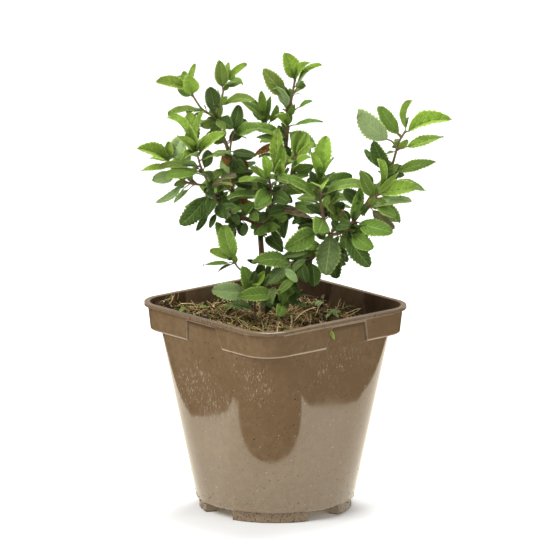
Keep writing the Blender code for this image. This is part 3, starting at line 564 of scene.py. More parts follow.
def specks(tree, place, cells, size, share):
    # round spots in some of a Voronoi pattern's cells: 1 inside a spot, 0 outside
    cell = addNode(tree, "ShaderNodeTexVoronoi", {"Vector": place, "Scale": cells})
    near = maths(tree, "LESS_THAN", cell.outputs["Distance"], size)
    chosen = addNode(tree, "ShaderNodeSeparateColor", {0: cell.outputs["Color"]}).outputs[0]
    return times(tree, near, maths(tree, "LESS_THAN", chosen, share))


def makePlastic():
    material, tree, shader = newMaterial("taupePlastic", plastic["roughness"])
    place = ownPlace(tree)
    height = partsOf(tree, place)[2]
    # uneven film of dust: broad clouds, with finer mottles
    broad = cloud(tree, place, 18.0, 4.0, 0.6)
    mottles = cloud(tree, place, 230.0, 4.0, 0.6)
    film = spread(tree, times(tree, broad, mottles), 0.2, 0.4, 0.0, 0.3)
    colour = blend(tree, film, plastic["colour"], plastic["dustyColour"])
    # wipe marks, fine and pale, mostly on the upper wall
    wipes = addNode(tree, "ShaderNodeMapping", {0: place, 3: (900.0, 900.0, 300.0)})
    scuffs = spread(tree, cloud(tree, wipes.outputs[0], 1.0, 2.0, 0.7), 0.56, 0.7)
    upper = spread(tree, height, *plastic["wipedFrom"], 0.0, 0.42, True)
    upper = times(tree, upper, spread(tree, height, *plastic["wipedUpTo"], 0.25, 1.0, True))
    patches = spread(tree, cloud(tree, place, 24.0, 2.0), 0.42, 0.6)
    scuffs = times(tree, scuffs, upper, patches)
    colour = blend(tree, scuffs, colour, plastic["chalkColour"])
    # soil that dried on low down, and in the gap above the soil inside
    low = spread(tree, height, 0.0, 0.03, 1.0, 0.0, True)
    grime = spread(tree, cloud(tree, place, 90.0, 6.0, 0.7), 0.52, 0.7)
    rag = spread(tree, cloud(tree, place, 130.0, 4.0, 0.6), 0.3, 0.7, -0.004, 0.004)
    foot = spread(tree, plus(tree, height, rag), *plastic["soilLine"], 0.85, 0.0, True)
    soiled = maths(tree, "MAXIMUM", times(tree, low, grime), foot)
    colour = blend(tree, times(tree, soiled, 0.8), colour, plastic["crustColour"])
    fade = spread(tree, height, 0.0, 0.1, 1.3, 0.2)
    wavy = addNode(tree, "ShaderNodeTexNoise", {"Vector": place, "Scale": 1400.0}).outputs["Color"]
    shaken = vectorMaths(tree, "MULTIPLY_ADD", wavy, (0.0011, 0.0011, 0.0011), place)
    for cells, size, share, tint, strength in plastic["specks"]:
        spots = specks(tree, shaken, cells, size, times(tree, fade, share))
        colour = blend(tree, times(tree, spots, strength), colour, plastic[tint])
    # a painted pale highlight, with wear, along the collar panels' lower edges and ends
    worn = spread(tree, cloud(tree, place, 120.0, 3.0), 0.3, 0.55, 0.22, 0.52)
    inner = readAttribute(tree, "inner")
    edge = times(tree, readAttribute(tree, "edge"), worn)
    # painted shade in the corners and under the panels and lip, in the soil's colour, with the dirt that
    # collects there
    crease = times(tree, readAttribute(tree, "crease"), 0.6)
    colour = blend(tree, crease, colour, plastic["soilAndShadeColour"])
    colour = blend(tree, edge, colour, plastic["paleHighlightAndWearColour"])
    # the inner wall is painted dark, as painted shade and with damp and soil, with dried marks in places
    stain = spread(tree, cloud(tree, place, 70.0, 5.0, 0.65), 0.3, 0.7)
    inside = blend(tree, stain, plastic["insideShadeAndDampColour"], plastic["soilAndShadeColour"])
    crust = times(tree, spread(tree, cloud(tree, place, 55.0, 6.0, 0.75), 0.63, 0.7), 0.4)
    crust = maths(tree, "MAXIMUM", crust, times(tree, edge, 0.5))
    inside = blend(tree, crust, inside, plastic["dustyColour"])
    colour = blend(tree, times(tree, inner, 0.88), colour, inside)
    tree.links.new(colour, shader.inputs["Base Color"])
    # the shine dulls where there is film or soil, and the moulding has a faint orange peel
    lipTop = spread(tree, height, *plastic["lipLevels"], 0.0, 0.2)
    dull = plus(tree, times(tree, film, 0.25), times(tree, soiled, 0.5), times(tree, scuffs, 0.3),
                times(tree, inner, 0.45), lipTop, times(tree, edge, 0.6), plastic["roughness"])
    tree.links.new(dull, shader.inputs["Roughness"])
    tree.links.new(spread(tree, inner, 0.0, 1.0, 0.9, 0.1), shader.inputs["Specular IOR Level"])
    peel = cloud(tree, place, 160.0, 2.0)
    relief = plus(tree, times(tree, peel, 0.25), times(tree, soiled, grime))
    addBump(tree, shader, relief, 0.12, 0.0002)
    return material


nurseryPot = makePot(makePlastic())
print("pot made")

# Soil: the packed soil's form, with crumbs and hollows on its top
soil = {
    "top": 120.0, "wave": 2.2, "gap": 0.4, "tilt": (-0.03, -0.008),
    "heapPlace": (-60.0, -56.0), "heapHigh": 8.5, "heapWide": 14.0,
    "sideTop": 118.2, "sideLevels": (108.0, 60.0),
    "rows": 130, "lumps": ((0.09, 1.5), (0.26, 0.9), (0.8, 0.45)),  # how fine, and how high in mm
    "darkColour": paint(24, 16, 9), "peatColour": paint(55, 38, 23), "lightColour": paint(116, 90, 58),
}


def soilHeight(x, y):
    uneven = math.sin(x * 0.11 + 1.0) * math.cos(y * 0.13 - 0.6) + 0.5 * math.sin(0.23 * (x + y))
    away = math.hypot(x - soil["heapPlace"][0], y - soil["heapPlace"][1])
    heap = soil["heapHigh"] * math.exp(-0.5 * (away / soil["heapWide"]) ** 2)
    return soil["top"] + soil["tilt"][0] * x + soil["tilt"][1] * y + soil["wave"] * uneven * 0.6 + heap


def soilTop(x, y):
    height = soilHeight(x, y)
    for fine, high in soil["lumps"]:
        height += high * noise.noise(Vector((x * fine, y * fine, 3.7)))
    return height


def makeSoil(material):
    # the top is a grid pressed into the collar's rounded square; the sides follow the wall to the floor
    rows = soil["rows"]
    gap = pot["thick"] + soil["gap"]
    half = wallSize(pot["wallTop"])[0] - gap
    corner = pot["collarCorner"] - 1.0 - (pot["collarHalfFoot"] - pot["thick"] - half)
    shape = bmesh.new()
    grid = []
    for row in range(rows + 1):
        line = []
        for column in range(rows + 1):
            u, v = 2 * column / rows - 1, 2 * row / rows - 1
            x, y = u * half, v * half
            reach = max(abs(u), abs(v)) * half
            if reach > 0:
                # pull the point towards the middle by as much as the rounded corner cuts off
                side, other = max(abs(x), abs(y)), min(abs(x), abs(y))
                flat = (half - corner) / half * side
                if other > flat:
                    size = corner * side / half
                    angle = (other - flat) / (side - flat) * math.pi / 4
                    newSide = flat + size * math.cos(angle)
                    newOther = flat + size * math.sin(angle)
                    if abs(x) >= abs(y):
                        x, y = math.copysign(newSide, x), math.copysign(newOther, y)
                    else:
                        x, y = math.copysign(newOther, x), math.copysign(newSide, y)
            edge = min(1.0, (1 - reach / half) * 12)
            height = soilHeight(x, y) + (soilTop(x, y) - soilHeight(x, y)) * edge
            line.append(shape.verts.new(Vector((x, y, height)) * mm))
        grid.append(line)
    for row in range(rows):
        for column in range(rows):
            shape.faces.new((grid[row][column], grid[row][column + 1],
                             grid[row + 1][column + 1], grid[row + 1][column]))
    rim = [*grid[0], *[line[-1] for line in grid[1:]], *reversed(grid[-1][:-1]),
           *reversed([line[0] for line in grid[1:-1]])]
    upper = rim
    sizes = [(soil["sideTop"], half, corner)]
    for level in (pot["wallTop"] - 0.2, *soil["sideLevels"], pot["baseLevel"] + gap):
        sizes.append((level, *[size - gap for size in wallSize(level)]))
    for level, newHalf, newCorner in sizes:
        lower = []
        for vert in rim:
            # the same point, moved in with the taper, on the wall's ring at this level
            place = wallPoint(vert.co / mm, newHalf, newCorner)
            lower.append(shape.verts.new(Vector((*place, level)) * mm))
        joinLoops(shape, lower, upper)
        upper = lower
    shape.faces.new(list(reversed(upper)))
    bmesh.ops.recalc_face_normals(shape, faces=shape.faces[:])
    piece = newPiece("potting_soil", toMesh(shape, "potting_soil", True), material)
    dressNode(piece, "soil", "soil")
    return piece


def wallPoint(point, half, corner):
    # where the ray from the axis through a point meets the rounded square of this size
    away = Vector((point[0], point[1])).normalized()
    flat = half - corner
    scale = half / max(abs(away.x), abs(away.y))
    side, other = max(abs(away.x), abs(away.y)) * scale, min(abs(away.x), abs(away.y)) * scale
    if other > flat:
        middle = Vector((flat, flat))
        along = Vector((side, other)).normalized().dot(middle)
        scale = along + math.sqrt(along**2 - middle.length_squared + corner**2)
    return away * scale


def makePeat():
    material, tree, shader = newMaterial("darkPeat", 0.95, Specular_IOR_Level=0.08)
    place = ownPlace(tree)
    coarse = cloud(tree, place, 260.0, 5.0, 0.7)
    fine = cloud(tree, place, 900.0, 3.0, 0.7)
    damp = cloud(tree, place, 40.0, 2.0)
    mixed = spread(tree, plus(tree, coarse, times(tree, damp, 0.5)), 0.55, 0.95)
    colour = blend(tree, mixed, soil["darkColour"], soil["peatColour"])
    bits = spread(tree, fine, 0.62, 0.7)
    colour = blend(tree, times(tree, bits, 0.6), colour, soil["lightColour"])
    tree.links.new(colour, shader.inputs["Base Color"])
    addBump(tree, shader, plus(tree, coarse, times(tree, fine, 0.6)), 1.0, 0.0012)
    return material


pottingSoil = makeSoil(makePeat())
print("soil made")


# Litter on the soil: crumbs, chips, and curled straw-coloured fibres, scattered by one node tree
litter = {
    "crumbs": {"Seed": 3, "Density": 620000.0, "Least_Size": 0.0005, "Most_Size": 0.0021, "Tilt": 3.1,
               "Sink": 0.0001},
    "fibres": {"Seed": 8, "Density": 310000.0, "Least_Size": 0.0025, "Most_Size": 0.008, "Tilt": 0.75,
               "Sink": -0.0008},
    "grit": {"Seed": 5, "Density": 620000.0, "Least_Size": 0.0003, "Most_Size": 0.0009, "Tilt": 3.1,
             "Sink": 0.0},
    "room": {"Half_Room": 0.0592, "Room_Corner": 0.0158},
    # where it is thickest as the picture shows it (right, away), and how far that reaches
    "thickPlace": (-12, 4), "thickReach": (26, 42), "wallClear": (1.4, 2.5),
    "strandShapes": 8 * [(0.5, 0.036)] + 4 * [(0.12, 0.028)],  # how curled, and how thick
    "crumbShapes": 5,
    "strawColour": paint(172, 130, 72), "paleStraw": paint(236, 210, 156), "oldStraw": paint(54, 34, 20),
    "mossColour": paint(112, 120, 42), "rootColour": paint(126, 76, 38),
    "perliteColour": paint(176, 176, 156),
}


def scatterTree():
    # puts random members of a collection on a surface, thickest where its litter attribute is high
    tree, given, out = newTree("scatterLitter", [
        ("Members", "Collection", None), ("Density", "Float", 1000.0), ("Least Size", "Float", 0.001),
        ("Most Size", "Float", 0.002), ("Tilt", "Float", 1.0), ("Sink", "Float", 0.0),
        ("Seed", "Int", 1), ("Half Room", "Float", 1.0), ("Room Corner", "Float", 0.01),
        ("Material", "Material", None)])
    density = times(tree, given["Density"], pointValue(tree, "litter"))
    points = addNode(tree, "GeometryNodeDistributePointsOnFaces",
                     {"Mesh": given["Geometry"], "Density": density, "Seed": given["Seed"]})
    members = addNode(tree, "GeometryNodeCollectionInfo",
                      {"Collection": given["Members"], "Separate Children": True, "Reset Children": True})
    size = addNode(tree, "FunctionNodeRandomValue", {
        2: given["Least Size"], 3: given["Most Size"], "Seed": given["Seed"]}, data_type="FLOAT")
    tilt, back = given["Tilt"], times(tree, given["Tilt"], -1.0)
    turn = addNode(tree, "FunctionNodeRandomValue", {
        0: joined(tree, back, back, 0.0), 1: joined(tree, tilt, tilt, math.tau),
        "Seed": given["Seed"]}, data_type="FLOAT_VECTOR")
    placed = addNode(tree, "GeometryNodeInstanceOnPoints",
                     {"Points": points.outputs["Points"], "Instance": members.outputs[0],
                      "Pick Instance": True, "Rotation": turn.outputs[0], "Scale": size.outputs[1]})
    drop = joined(tree, 0.0, 0.0, times(tree, given["Sink"], -1.0))
    sunk = addNode(tree, "GeometryNodeTranslateInstances", {
        "Instances": placed.outputs[0], "Translation": drop, "Local Space": False})
    tone = addNode(tree, "FunctionNodeRandomValue", {"Seed": 77}, data_type="FLOAT")
    toned = addNode(tree, "GeometryNodeStoreNamedAttribute",
                    {"Geometry": sunk.outputs[0], "Name": "tone", "Value": tone.outputs[1]},
                    data_type="FLOAT", domain="INSTANCE")
    real = addNode(tree, "GeometryNodeRealizeInstances", {0: toned.outputs[0]})
    # what would reach through the wall is pressed against it: the wall is a rounded square
    place = addNode(tree, "GeometryNodeInputPosition").outputs[0]
    level = vectorMaths(tree, "MULTIPLY", place, (1.0, 1.0, 0.0))
    reach = vectorMaths(tree, "ABSOLUTE", level)
    flat = maths(tree, "SUBTRACT", given["Half Room"], given["Room Corner"])
    flat = joined(tree, flat, flat, 0.0)
    past = vectorMaths(tree, "MAXIMUM", vectorMaths(tree, "SUBTRACT", reach, flat), (0.0, 0.0, 0.0))
    length = addNode(tree, "ShaderNodeVectorMath", {0: past}, operation="LENGTH").outputs["Value"]
    kept = maths(tree, "MINIMUM", 1.0, maths(tree, "DIVIDE", given["Room Corner"], length))
    past = scaled(tree, past, kept)
    pressed = vectorMaths(tree, "ADD", vectorMaths(tree, "MINIMUM", reach, flat), past)
    pressed = vectorMaths(tree, "MULTIPLY", pressed, vectorMaths(tree, "SIGN", level))
    pressed = vectorMaths(tree, "ADD", pressed, vectorMaths(tree, "MULTIPLY", place, (0.0, 0.0, 1.0)))
    moved = addNode(tree, "GeometryNodeSetPosition", {"Geometry": real.outputs[0], "Position": pressed})
    return endTree(tree, given, moved.outputs[0], out)


def strandMesh(name, draw, curl, thick):
    # a curled strand about one unit across, as a closed three-sided tube
    heading, pitch = draw.uniform(0, math.tau), 0.0
    bend = draw.uniform(-curl, curl)
    spot = Vector((0, 0, 0))
    path = []
    for _ in range(7):
        path.append(spot.copy())
        heading += bend + draw.uniform(-0.35, 0.35)
        pitch = max(-0.5, min(0.7, pitch + draw.uniform(-0.35, 0.4)))
        spot += Vector((math.cos(heading), math.sin(heading), math.sin(pitch))) * 0.32
    middle = sum(path, Vector()) / len(path)
    path = [point - Vector((middle.x, middle.y, 0)) for point in path]
    return tubeMesh(name, path, [thick * (1 - 0.6 * abs(i / 3 - 1) ** 2) for i in range(7)], 3)


def finePath(route, steps):
    # a smooth curve through the route's points, with this many steps between each two
    ends = [2 * route[0] - route[1], *route, 2 * route[-1] - route[-2]]
    path = []
    for a, b, c, d in zip(ends, ends[1:], ends[2:], ends[3:]):
        for step in range(steps):
            t = step / steps
            path.append(0.5 * (2 * b + (c - a) * t + (2 * a - 5 * b + 4 * c - d) * t**2
                               + (3 * b - a - 3 * c + d) * t**3))
    return [*path, route[-1]]


def tubeMesh(name, path, radii, sides):
    shape = bmesh.new()
    rings = []
    for index, (point, radius) in enumerate(zip(path, radii)):
        course = (path[min(index + 1, len(path) - 1)] - path[max(index - 1, 0)]).normalized()
        side = course.cross(Vector((0.13, 0.21, 0.97))).normalized()
        other = course.cross(side)
        angles = [step * math.tau / sides for step in range(sides)]
        rings.append([shape.verts.new(point + (side * math.cos(a) + other * math.sin(a)) * radius)
                      for a in angles])
    for lower, upper in zip(rings, rings[1:]):
        joinLoops(shape, lower, upper)
    shape.faces.new(list(reversed(rings[0])))
    shape.faces.new(rings[-1])
    bmesh.ops.recalc_face_normals(shape, faces=shape.faces[:])
    return toMesh(shape, name, True)


def crumbMesh(name, draw):
    shape = bmesh.new()
    bmesh.ops.create_icosphere(shape, subdivisions=1, radius=0.5)
    stretch = Vector((draw.uniform(0.7, 1.4), draw.uniform(0.6, 1.1), draw.uniform(0.45, 0.9)))
    for vert in shape.verts:
        vert.co = vert.co * draw.uniform(0.75, 1.25) * stretch
    return toMesh(shape, name)


def memberCollection(name, meshes):
    members = bpy.data.collections.new(name)
    for index, mesh in enumerate(meshes):
        members.objects.link(bpy.data.objects.new(f"{name}{index}", mesh))
    return members


def paintLitter(piece):
    # where litter lies: only on the top clear of the wall, and most in front of the trunk
    values = []
    turn = Matrix.Rotation(-seenTurn, 3, "Z")
    rows = soil["rows"]
    half = wallSize(pot["wallTop"])[0]
    for vert in piece.data.vertices:
        spot = turn @ (vert.co / mm)
        row, column = divmod(vert.index, rows + 1)
        inward = half * (1 - max(abs(2 * column / rows - 1), abs(2 * row / rows - 1)))
        if row > rows:
            values.append(0.0)
            continue
        near = math.exp(-sum(((step - middle) / reach) ** 2 for step, middle, reach in zip(
            spot.xy, litter["thickPlace"], litter["thickReach"])))
        patchy = 0.5 + 0.5 * noise.noise(Vector((spot.x * 0.08, spot.y * 0.08, 1.3)))
        clear, ease = litter["wallClear"]
        values.append((0.45 + 0.6 * near) * (0.4 + patchy) * min(1.0, max(0.0, (inward - clear) / ease)))
    markPoints(piece.data, "litter", values)


def makeStrawMaterial():
    material, tree, shader = newMaterial("strawFibre", 0.7, Specular_IOR_Level=0.25)
    place = ownPlace(tree)
    tone = readAttribute(tree, "tone")
    colour = blend(tree, spread(tree, tone, 0.35, 0.7), litter["strawColour"], litter["paleStraw"])
    colour = blend(tree, spread(tree, tone, 0.42, 0.26), colour, litter["oldStraw"])
    mix = maths(tree, "FRACT", times(tree, tone, 37.0))
    mossy = spread(tree, cloud(tree, place, 55.0, 2.0), 0.4, 0.6, 0.02, 0.4)
    colour = blend(tree, maths(tree, "LESS_THAN", mix, mossy), colour, litter["mossColour"])
    colour = blend(tree, maths(tree, "GREATER_THAN", mix, 0.8), colour, litter["rootColour"])
    mottle = spread(tree, cloud(tree, place, 900.0, 2.0), 0.4, 0.7)
    colour = blend(tree, times(tree, mottle, 0.3), colour, litter["oldStraw"])
    tree.links.new(colour, shader.inputs["Base Color"])
    addBump(tree, shader, cloud(tree, place, 2600.0, 2.0), 0.4, 0.0002)
    return material


def makeCrumbMaterial():
    material, tree, shader = newMaterial("soilCrumb", 0.9, Specular_IOR_Level=0.1)
    place = ownPlace(tree)
    tone = readAttribute(tree, "tone")
    colour = blend(tree, spread(tree, tone, 0.3, 0.9), soil["darkColour"], soil["peatColour"])
    mix = maths(tree, "FRACT", times(tree, tone, 53.0))
    colour = blend(tree, maths(tree, "GREATER_THAN", mix, 0.86), colour, soil["lightColour"])
    colour = blend(tree, maths(tree, "LESS_THAN", mix, 0.07), colour, litter["perliteColour"])
    mossy = maths(tree, "LESS_THAN", maths(tree, "ABSOLUTE", maths(tree, "SUBTRACT", mix, 0.3)), 0.06)
    colour = blend(tree, mossy, colour, litter["mossColour"])
    grain = spread(tree, cloud(tree, place, 1500.0, 3.0), 0.35, 0.75, 0.0, 0.5)
    colour = blend(tree, grain, colour, soil["darkColour"])
    tree.links.new(colour, shader.inputs["Base Color"])
    addBump(tree, shader, cloud(tree, place, 1800.0, 3.0), 0.8, 0.0004)
    return material


def paintFoot(piece):
    # the grit that sticks to the pot's feet and the foot of its wall
    values = []
    for vert in piece.data.vertices:
        spot = vert.co / mm
        outside = math.hypot(spot.x, spot.y) > 46.5 and spot.z > 0.3
        stuck = 1.0 if spot.z < pot["baseLevel"] + 0.2 else max(0.0, 0.08 - spot.z / 400)
        values.append(stuck if outside else 0.0)
    markPoints(piece.data, "litter", values)


def scatterPiece(name, surface, tree, members, material, slotName, settings):
    # the piece starts as a copy of a surface, which the tree uses and leaves out
    piece = newPiece(name, surface.data.copy())
    applyTree(piece, tree, Members=members, Material=material, **settings)
    dressNode(piece, slotName)
    return piece


def keepInPot(right, rise, away, clear=None):
    # moves a spot along the line of sight until it is inside the wall and, where clear is given, that
    # far above the soil
    half, corner = pot["collarHalfFoot"] - pot["thick"] - 1.2, pot["collarCorner"] - 2.2
    for _ in range(300):
        spot = seen(right, rise, away)
        inside = math.hypot(*[max(0.0, abs(step) - (half - corner)) for step in spot.xy]) <= corner
        above = clear is None or spot.z >= soilTop(spot.x, spot.y) + clear
        if inside and above:
            break
        away -= 0.3 if away > 0 or not above else -0.3
    return spot


# single straws that the picture shows on the soil: the way through, the radius and the tone
looseStraws = (
    (((11.9, 116.5, -8), (13.8, 119.3, -4), (17.6, 122.5, 5.6),
      (22, 124.7, 15.3), (25.8, 125.7, 23.8)), 0.36, 0.75),
    (((10.3, 114.6, -14.2), (10.5, 117.7, -13.1), (10.1, 120.9, -12)), 0.55, 0.72),
    (((15.7, 117.1, -3.1), (19.5, 120.3, 2.3), (23.3, 121.5, 7.8)), 0.22, 0.62),
    (((-69.4, 128.5, 49.1), (-66.9, 132.3, 46.6), (-65, 134.9, 36.4)), 0.2, 0.6),
    (((-62.4, 130.4, 57.4), (-61.8, 133.6, 56.4), (-61.8, 136.8, 53.3)), 0.17, 0.5),
    (((-37, 129.2, 49.7), (-36.1, 133, 51.5), (-35.8, 135.8, 51.2)), 0.3, 0.84),
    (((-27.5, 124.7, 30.3), (-22.4, 127.3, 30.7), (-18, 126.9, 27.2)), 0.2, 0.66),
    (((-16.1, 113.3, -19.8), (-11.6, 116.5, -16.5), (-8.4, 118.4, -6.1)), 0.2, 0.7),
    (((41.1, 123.4, 24.7), (46.8, 126.6, 30.1), (51.2, 126, 29.4)), 0.17, 0.6),
    (((-60.5, 124.7, 30.3), (-53.5, 126.3, 28.7), (-46.5, 127.9, 35.6)), 0.2, 0.68),
)


def addLooseStraws(material):
    whole = bmesh.new()
    tones = []
    for path, radius, tone in looseStraws:
        fine = finePath([keepInPot(*spot) * mm for spot in path], 4)
        count = len(fine)
        part = tubeMesh("straw", fine, [radius * mm * (1 - 0.35 * i / count) for i in range(count)], 6)
        whole.from_mesh(part)
        tones += [tone] * len(part.vertices)
    mesh = toMesh(whole, "loose_straws", True)
    markPoints(mesh, "tone", tones)
    dressNode(newPiece("loose_straws", mesh, material), "soil", "soil")


paintLitter(pottingSoil)
paintFoot(nurseryPot)
litterTree = scatterTree()
litterDraw = random.Random(12)
crumbs = memberCollection("crumb", [
    crumbMesh(f"crumb{i}", litterDraw) for i in range(litter["crumbShapes"])])
strands = memberCollection("strand", [
    strandMesh(f"strand{i}", litterDraw, *shape) for i, shape in enumerate(litter["strandShapes"])])
strawMaterial = makeStrawMaterial()
crumbMaterial = makeCrumbMaterial()
scatterPiece("soil_crumbs", pottingSoil, litterTree, crumbs, crumbMaterial, "soil",
             {**litter["crumbs"], **litter["room"]})
scatterPiece("straw_fibres", pottingSoil, litterTree, strands, strawMaterial, "soil",
             {**litter["fibres"], **litter["room"]})
scatterPiece("pot_grit", nurseryPot, litterTree, crumbs, crumbMaterial, "pot_plastic", litter["grit"])
addLooseStraws(strawMaterial)
print("litter made")

# Leaf shapes: each is one blade, one unit long and two wide, with rounded teeth, a fold along the
# midrib and a surface that swells between the side veins. Small shapes have fewer faces.
leafShapes = {
    "leafShapeBroad": dict(teeth=11, toothDepth=0.18, fold=0.36, swell=0.08, veins=7.0,
                           columns=(0.25, 0.52, 0.8), ripple=0.03, curlDown=0.10),
    "leafShapeFlat": dict(teeth=10, toothDepth=0.17, fold=0.16, swell=0.085, veins=7.0,
                          columns=(0.25, 0.52, 0.8), ripple=0.05, curlDown=0.16),
    "leafShapeSmall": dict(teeth=7, toothDepth=0.15, fold=0.3, swell=0.05, veins=4.0,
                           columns=(0.5,), ripple=0.02, curlDown=0.05),
    "leafShapeYoung": dict(teeth=9, toothDepth=0.2, fold=0.6, swell=0.06, veins=5.0,
                           columns=(0.34, 0.72), ripple=0.03, curlDown=0.08),
}
bladeThickness = 0.05
neckWidth = 0.05  # half width where the blade meets its stalk


def bladeHalf(part):
    return max(math.sin(math.pi * part**0.93), 0.0) ** (0.76 - 0.26 * part)


def leafShapeMesh(name, look):
    # blade: part along, signed part across, and a count that is whole on each side vein
    teeth, rows = look["teeth"], look["teeth"] * 4 + 2
    across = [-1.0, *[-c for c in reversed(look["columns"])], 0.0, *look["columns"], 1.0]
    verts, blade, under, faces = [], [], [], []
    tops, bottoms = [], []
    for row in range(rows + 1):
        part = row / rows
        half = max(bladeHalf(part), neckWidth if part < 0.5 else 0.012)
        tooth = abs(math.sin(math.pi * (part * teeth * 1.04 - 0.2))) ** 0.85
        taper = min(1.0, part / 0.16) * min(1.0, (1 - part) / 0.06 + 0.25)
        line, lower = [], []
        for side in across:
            reach = abs(side)
            edge = half * (1 - look["toothDepth"] * taper * (1 - tooth)) if reach == 1 else half * 0.955
            x = side * edge
            y = part - (0.012 * taper * (1 - tooth) if reach == 1 else 0.0)
            phase = look["veins"] * (part * 1.05 - reach * half * 0.32) + 0.1
            vein = abs(math.sin(math.pi * phase))
            bulge = math.sin(math.pi * min(1.0, reach * 0.86 + 0.1)) * min(1, half * 1.6)
            swell = look["swell"] * vein * bulge
            fold = look["fold"] * half * (math.sqrt(side * side + 0.012) - 0.11)
            ripple = look["ripple"] * math.sin(part * 17 + (2.1 if side > 0 else 0.4)) * reach**3 * half
            curl = look["curlDown"] * half * reach**4
            z = fold + swell + ripple - curl
            thick = bladeThickness * (0.6 if reach == 1 else 1.0)
            rib = 0.055 * (1 - 0.75 * part) if side == 0 else 0.0
            for group, level, below in ((line, z, 0.0), (lower, z - thick - rib, 1.0)):
                group.append(len(verts))
                verts.append((x, y, level))
                blade.extend((part, side, phase))
                under.append(below)
        tops.append(line)
        bottoms.append(lower)
    count = len(across)
    for row in range(rows):
        for column in range(count - 1):
            faces.append((tops[row][column], tops[row][column + 1],
                          tops[row + 1][column + 1], tops[row + 1][column]))
            faces.append((bottoms[row][column], bottoms[row + 1][column],
                          bottoms[row + 1][column + 1], bottoms[row][column + 1]))
        for column, flip in ((0, False), (count - 1, True)):
            rim = (tops[row][column], tops[row + 1][column], bottoms[row + 1][column], bottoms[row][column])
            faces.append(rim[::-1] if flip else rim)
    for row, flip in ((0, False), (rows, True)):
        for column in range(count - 1):
            end = (tops[row][column], tops[row][column + 1], bottoms[row][column + 1], bottoms[row][column])
            faces.append(end[::-1] if flip else end)
    mesh = bpy.data.meshes.new(name)
    mesh.from_pydata(verts, [], faces)
    fix = bmesh.new()
    fix.from_mesh(mesh)
    bmesh.ops.recalc_face_normals(fix, faces=fix.faces[:])
    fix.to_mesh(mesh)
    fix.free()
    markPoints(mesh, "blade", blade, "FLOAT_VECTOR")
    markPoints(mesh, "under", under)
    smoothFaces(mesh)
    mesh.set_sharp_from_angle(angle=math.radians(50))
    return mesh


def leafTree():
    # one leaf on every point: turned by its two directions, sized, then arched along its length
    tree, given, out = newTree("leafSpray", [
        ("Leaf Shapes", "Collection", None), ("Arch", "Float", 0.07), ("Sway", "Float", 0.03),
        ("Wind", "Float", 0.2), ("Curl", "Float", 0.1), ("Material", "Material", None)])

    def read(name, kind="FLOAT_VECTOR"):
        return pointValue(tree, name, kind)

    def share(factor, middle):
        # another draw from each leaf's own lot
        return maths(tree, "SUBTRACT", maths(tree, "FRACT", times(tree, lot, factor)), middle)

    shapes = addNode(tree, "GeometryNodeCollectionInfo",
                     {"Collection": given["Leaf Shapes"], "Separate Children": True, "Reset Children": True})
    turn = addNode(tree, "FunctionNodeAxesToRotation", {0: read("leafFace"), 1: read("leafAlong")},
                   primary_axis="Z", secondary_axis="Y")
    placed = addNode(tree, "GeometryNodeInstanceOnPoints", {
        "Points": given["Geometry"], "Instance": shapes.outputs[0], "Pick Instance": True,
        "Instance Index": read("leafShape", "INT"), "Rotation": turn.outputs[0], "Scale": read("leafSize")})
    real = addNode(tree, "GeometryNodeRealizeInstances", {0: placed.outputs[0]})
    part, signed, _ = partsOf(tree, read("blade"))
    length = partsOf(tree, read("leafSize"))[1]
    lot = read("leafLot", "FLOAT")
    bow = maths(tree, "SINE", times(tree, part, math.pi))
    rise = times(tree, bow, times(tree, plus(tree, lot, 0.35), given["Arch"]), length)
    swing = times(tree, bow, share(7.3, 0.5), times(tree, length, 2.0), given["Sway"])
    # the blade winds a little towards its tip, and the tip hangs or lifts
    wind = times(tree, share(13.7, 0.5), signed, maths(tree, "POWER", part, 1.5), length, given["Wind"])
    curl = times(tree, share(29.3, 0.68), maths(tree, "POWER", part, 4.0), length, given["Curl"])
    rise = plus(tree, rise, plus(tree, wind, curl))
    across = vectorMaths(tree, "CROSS_PRODUCT", read("leafAlong"), read("leafFace"))
    offset = vectorMaths(tree, "ADD", scaled(tree, read("leafFace"), rise), scaled(tree, across, swing))
    moved = addNode(tree, "GeometryNodeSetPosition", {"Geometry": real.outputs[0], "Offset": offset})
    return endTree(tree, given, moved.outputs[0], out)


def stemTree():
    # round tubes along a wire; each point's thick attribute is its radius
    tree, given, out = newTree("stemTubes", [
        ("Sides", "Int", 9), ("Step", "Float", 0.0016), ("Material", "Material", None)])
    curve = addNode(tree, "GeometryNodeMeshToCurve", {"Mesh": given["Geometry"]})
    even = addNode(tree, "GeometryNodeResampleCurve",
                   {"Curve": curve.outputs[0], "Length": given["Step"]}, mode="LENGTH")
    circle = addNode(tree, "GeometryNodeCurvePrimitiveCircle", {"Resolution": given["Sides"], "Radius": 1.0})
    tube = addNode(tree, "GeometryNodeCurveToMesh", {
        "Curve": even.outputs[0], "Profile Curve": circle.outputs[0],
        "Scale": pointValue(tree, "thick"), "Fill Caps": True})
    smooth = addNode(tree, "GeometryNodeSetShadeSmooth", {0: tube.outputs[0]})
    real = addNode(tree, "GeometryNodeRealizeInstances", {0: smooth.outputs[0]})
    return endTree(tree, given, real.outputs[0], out)


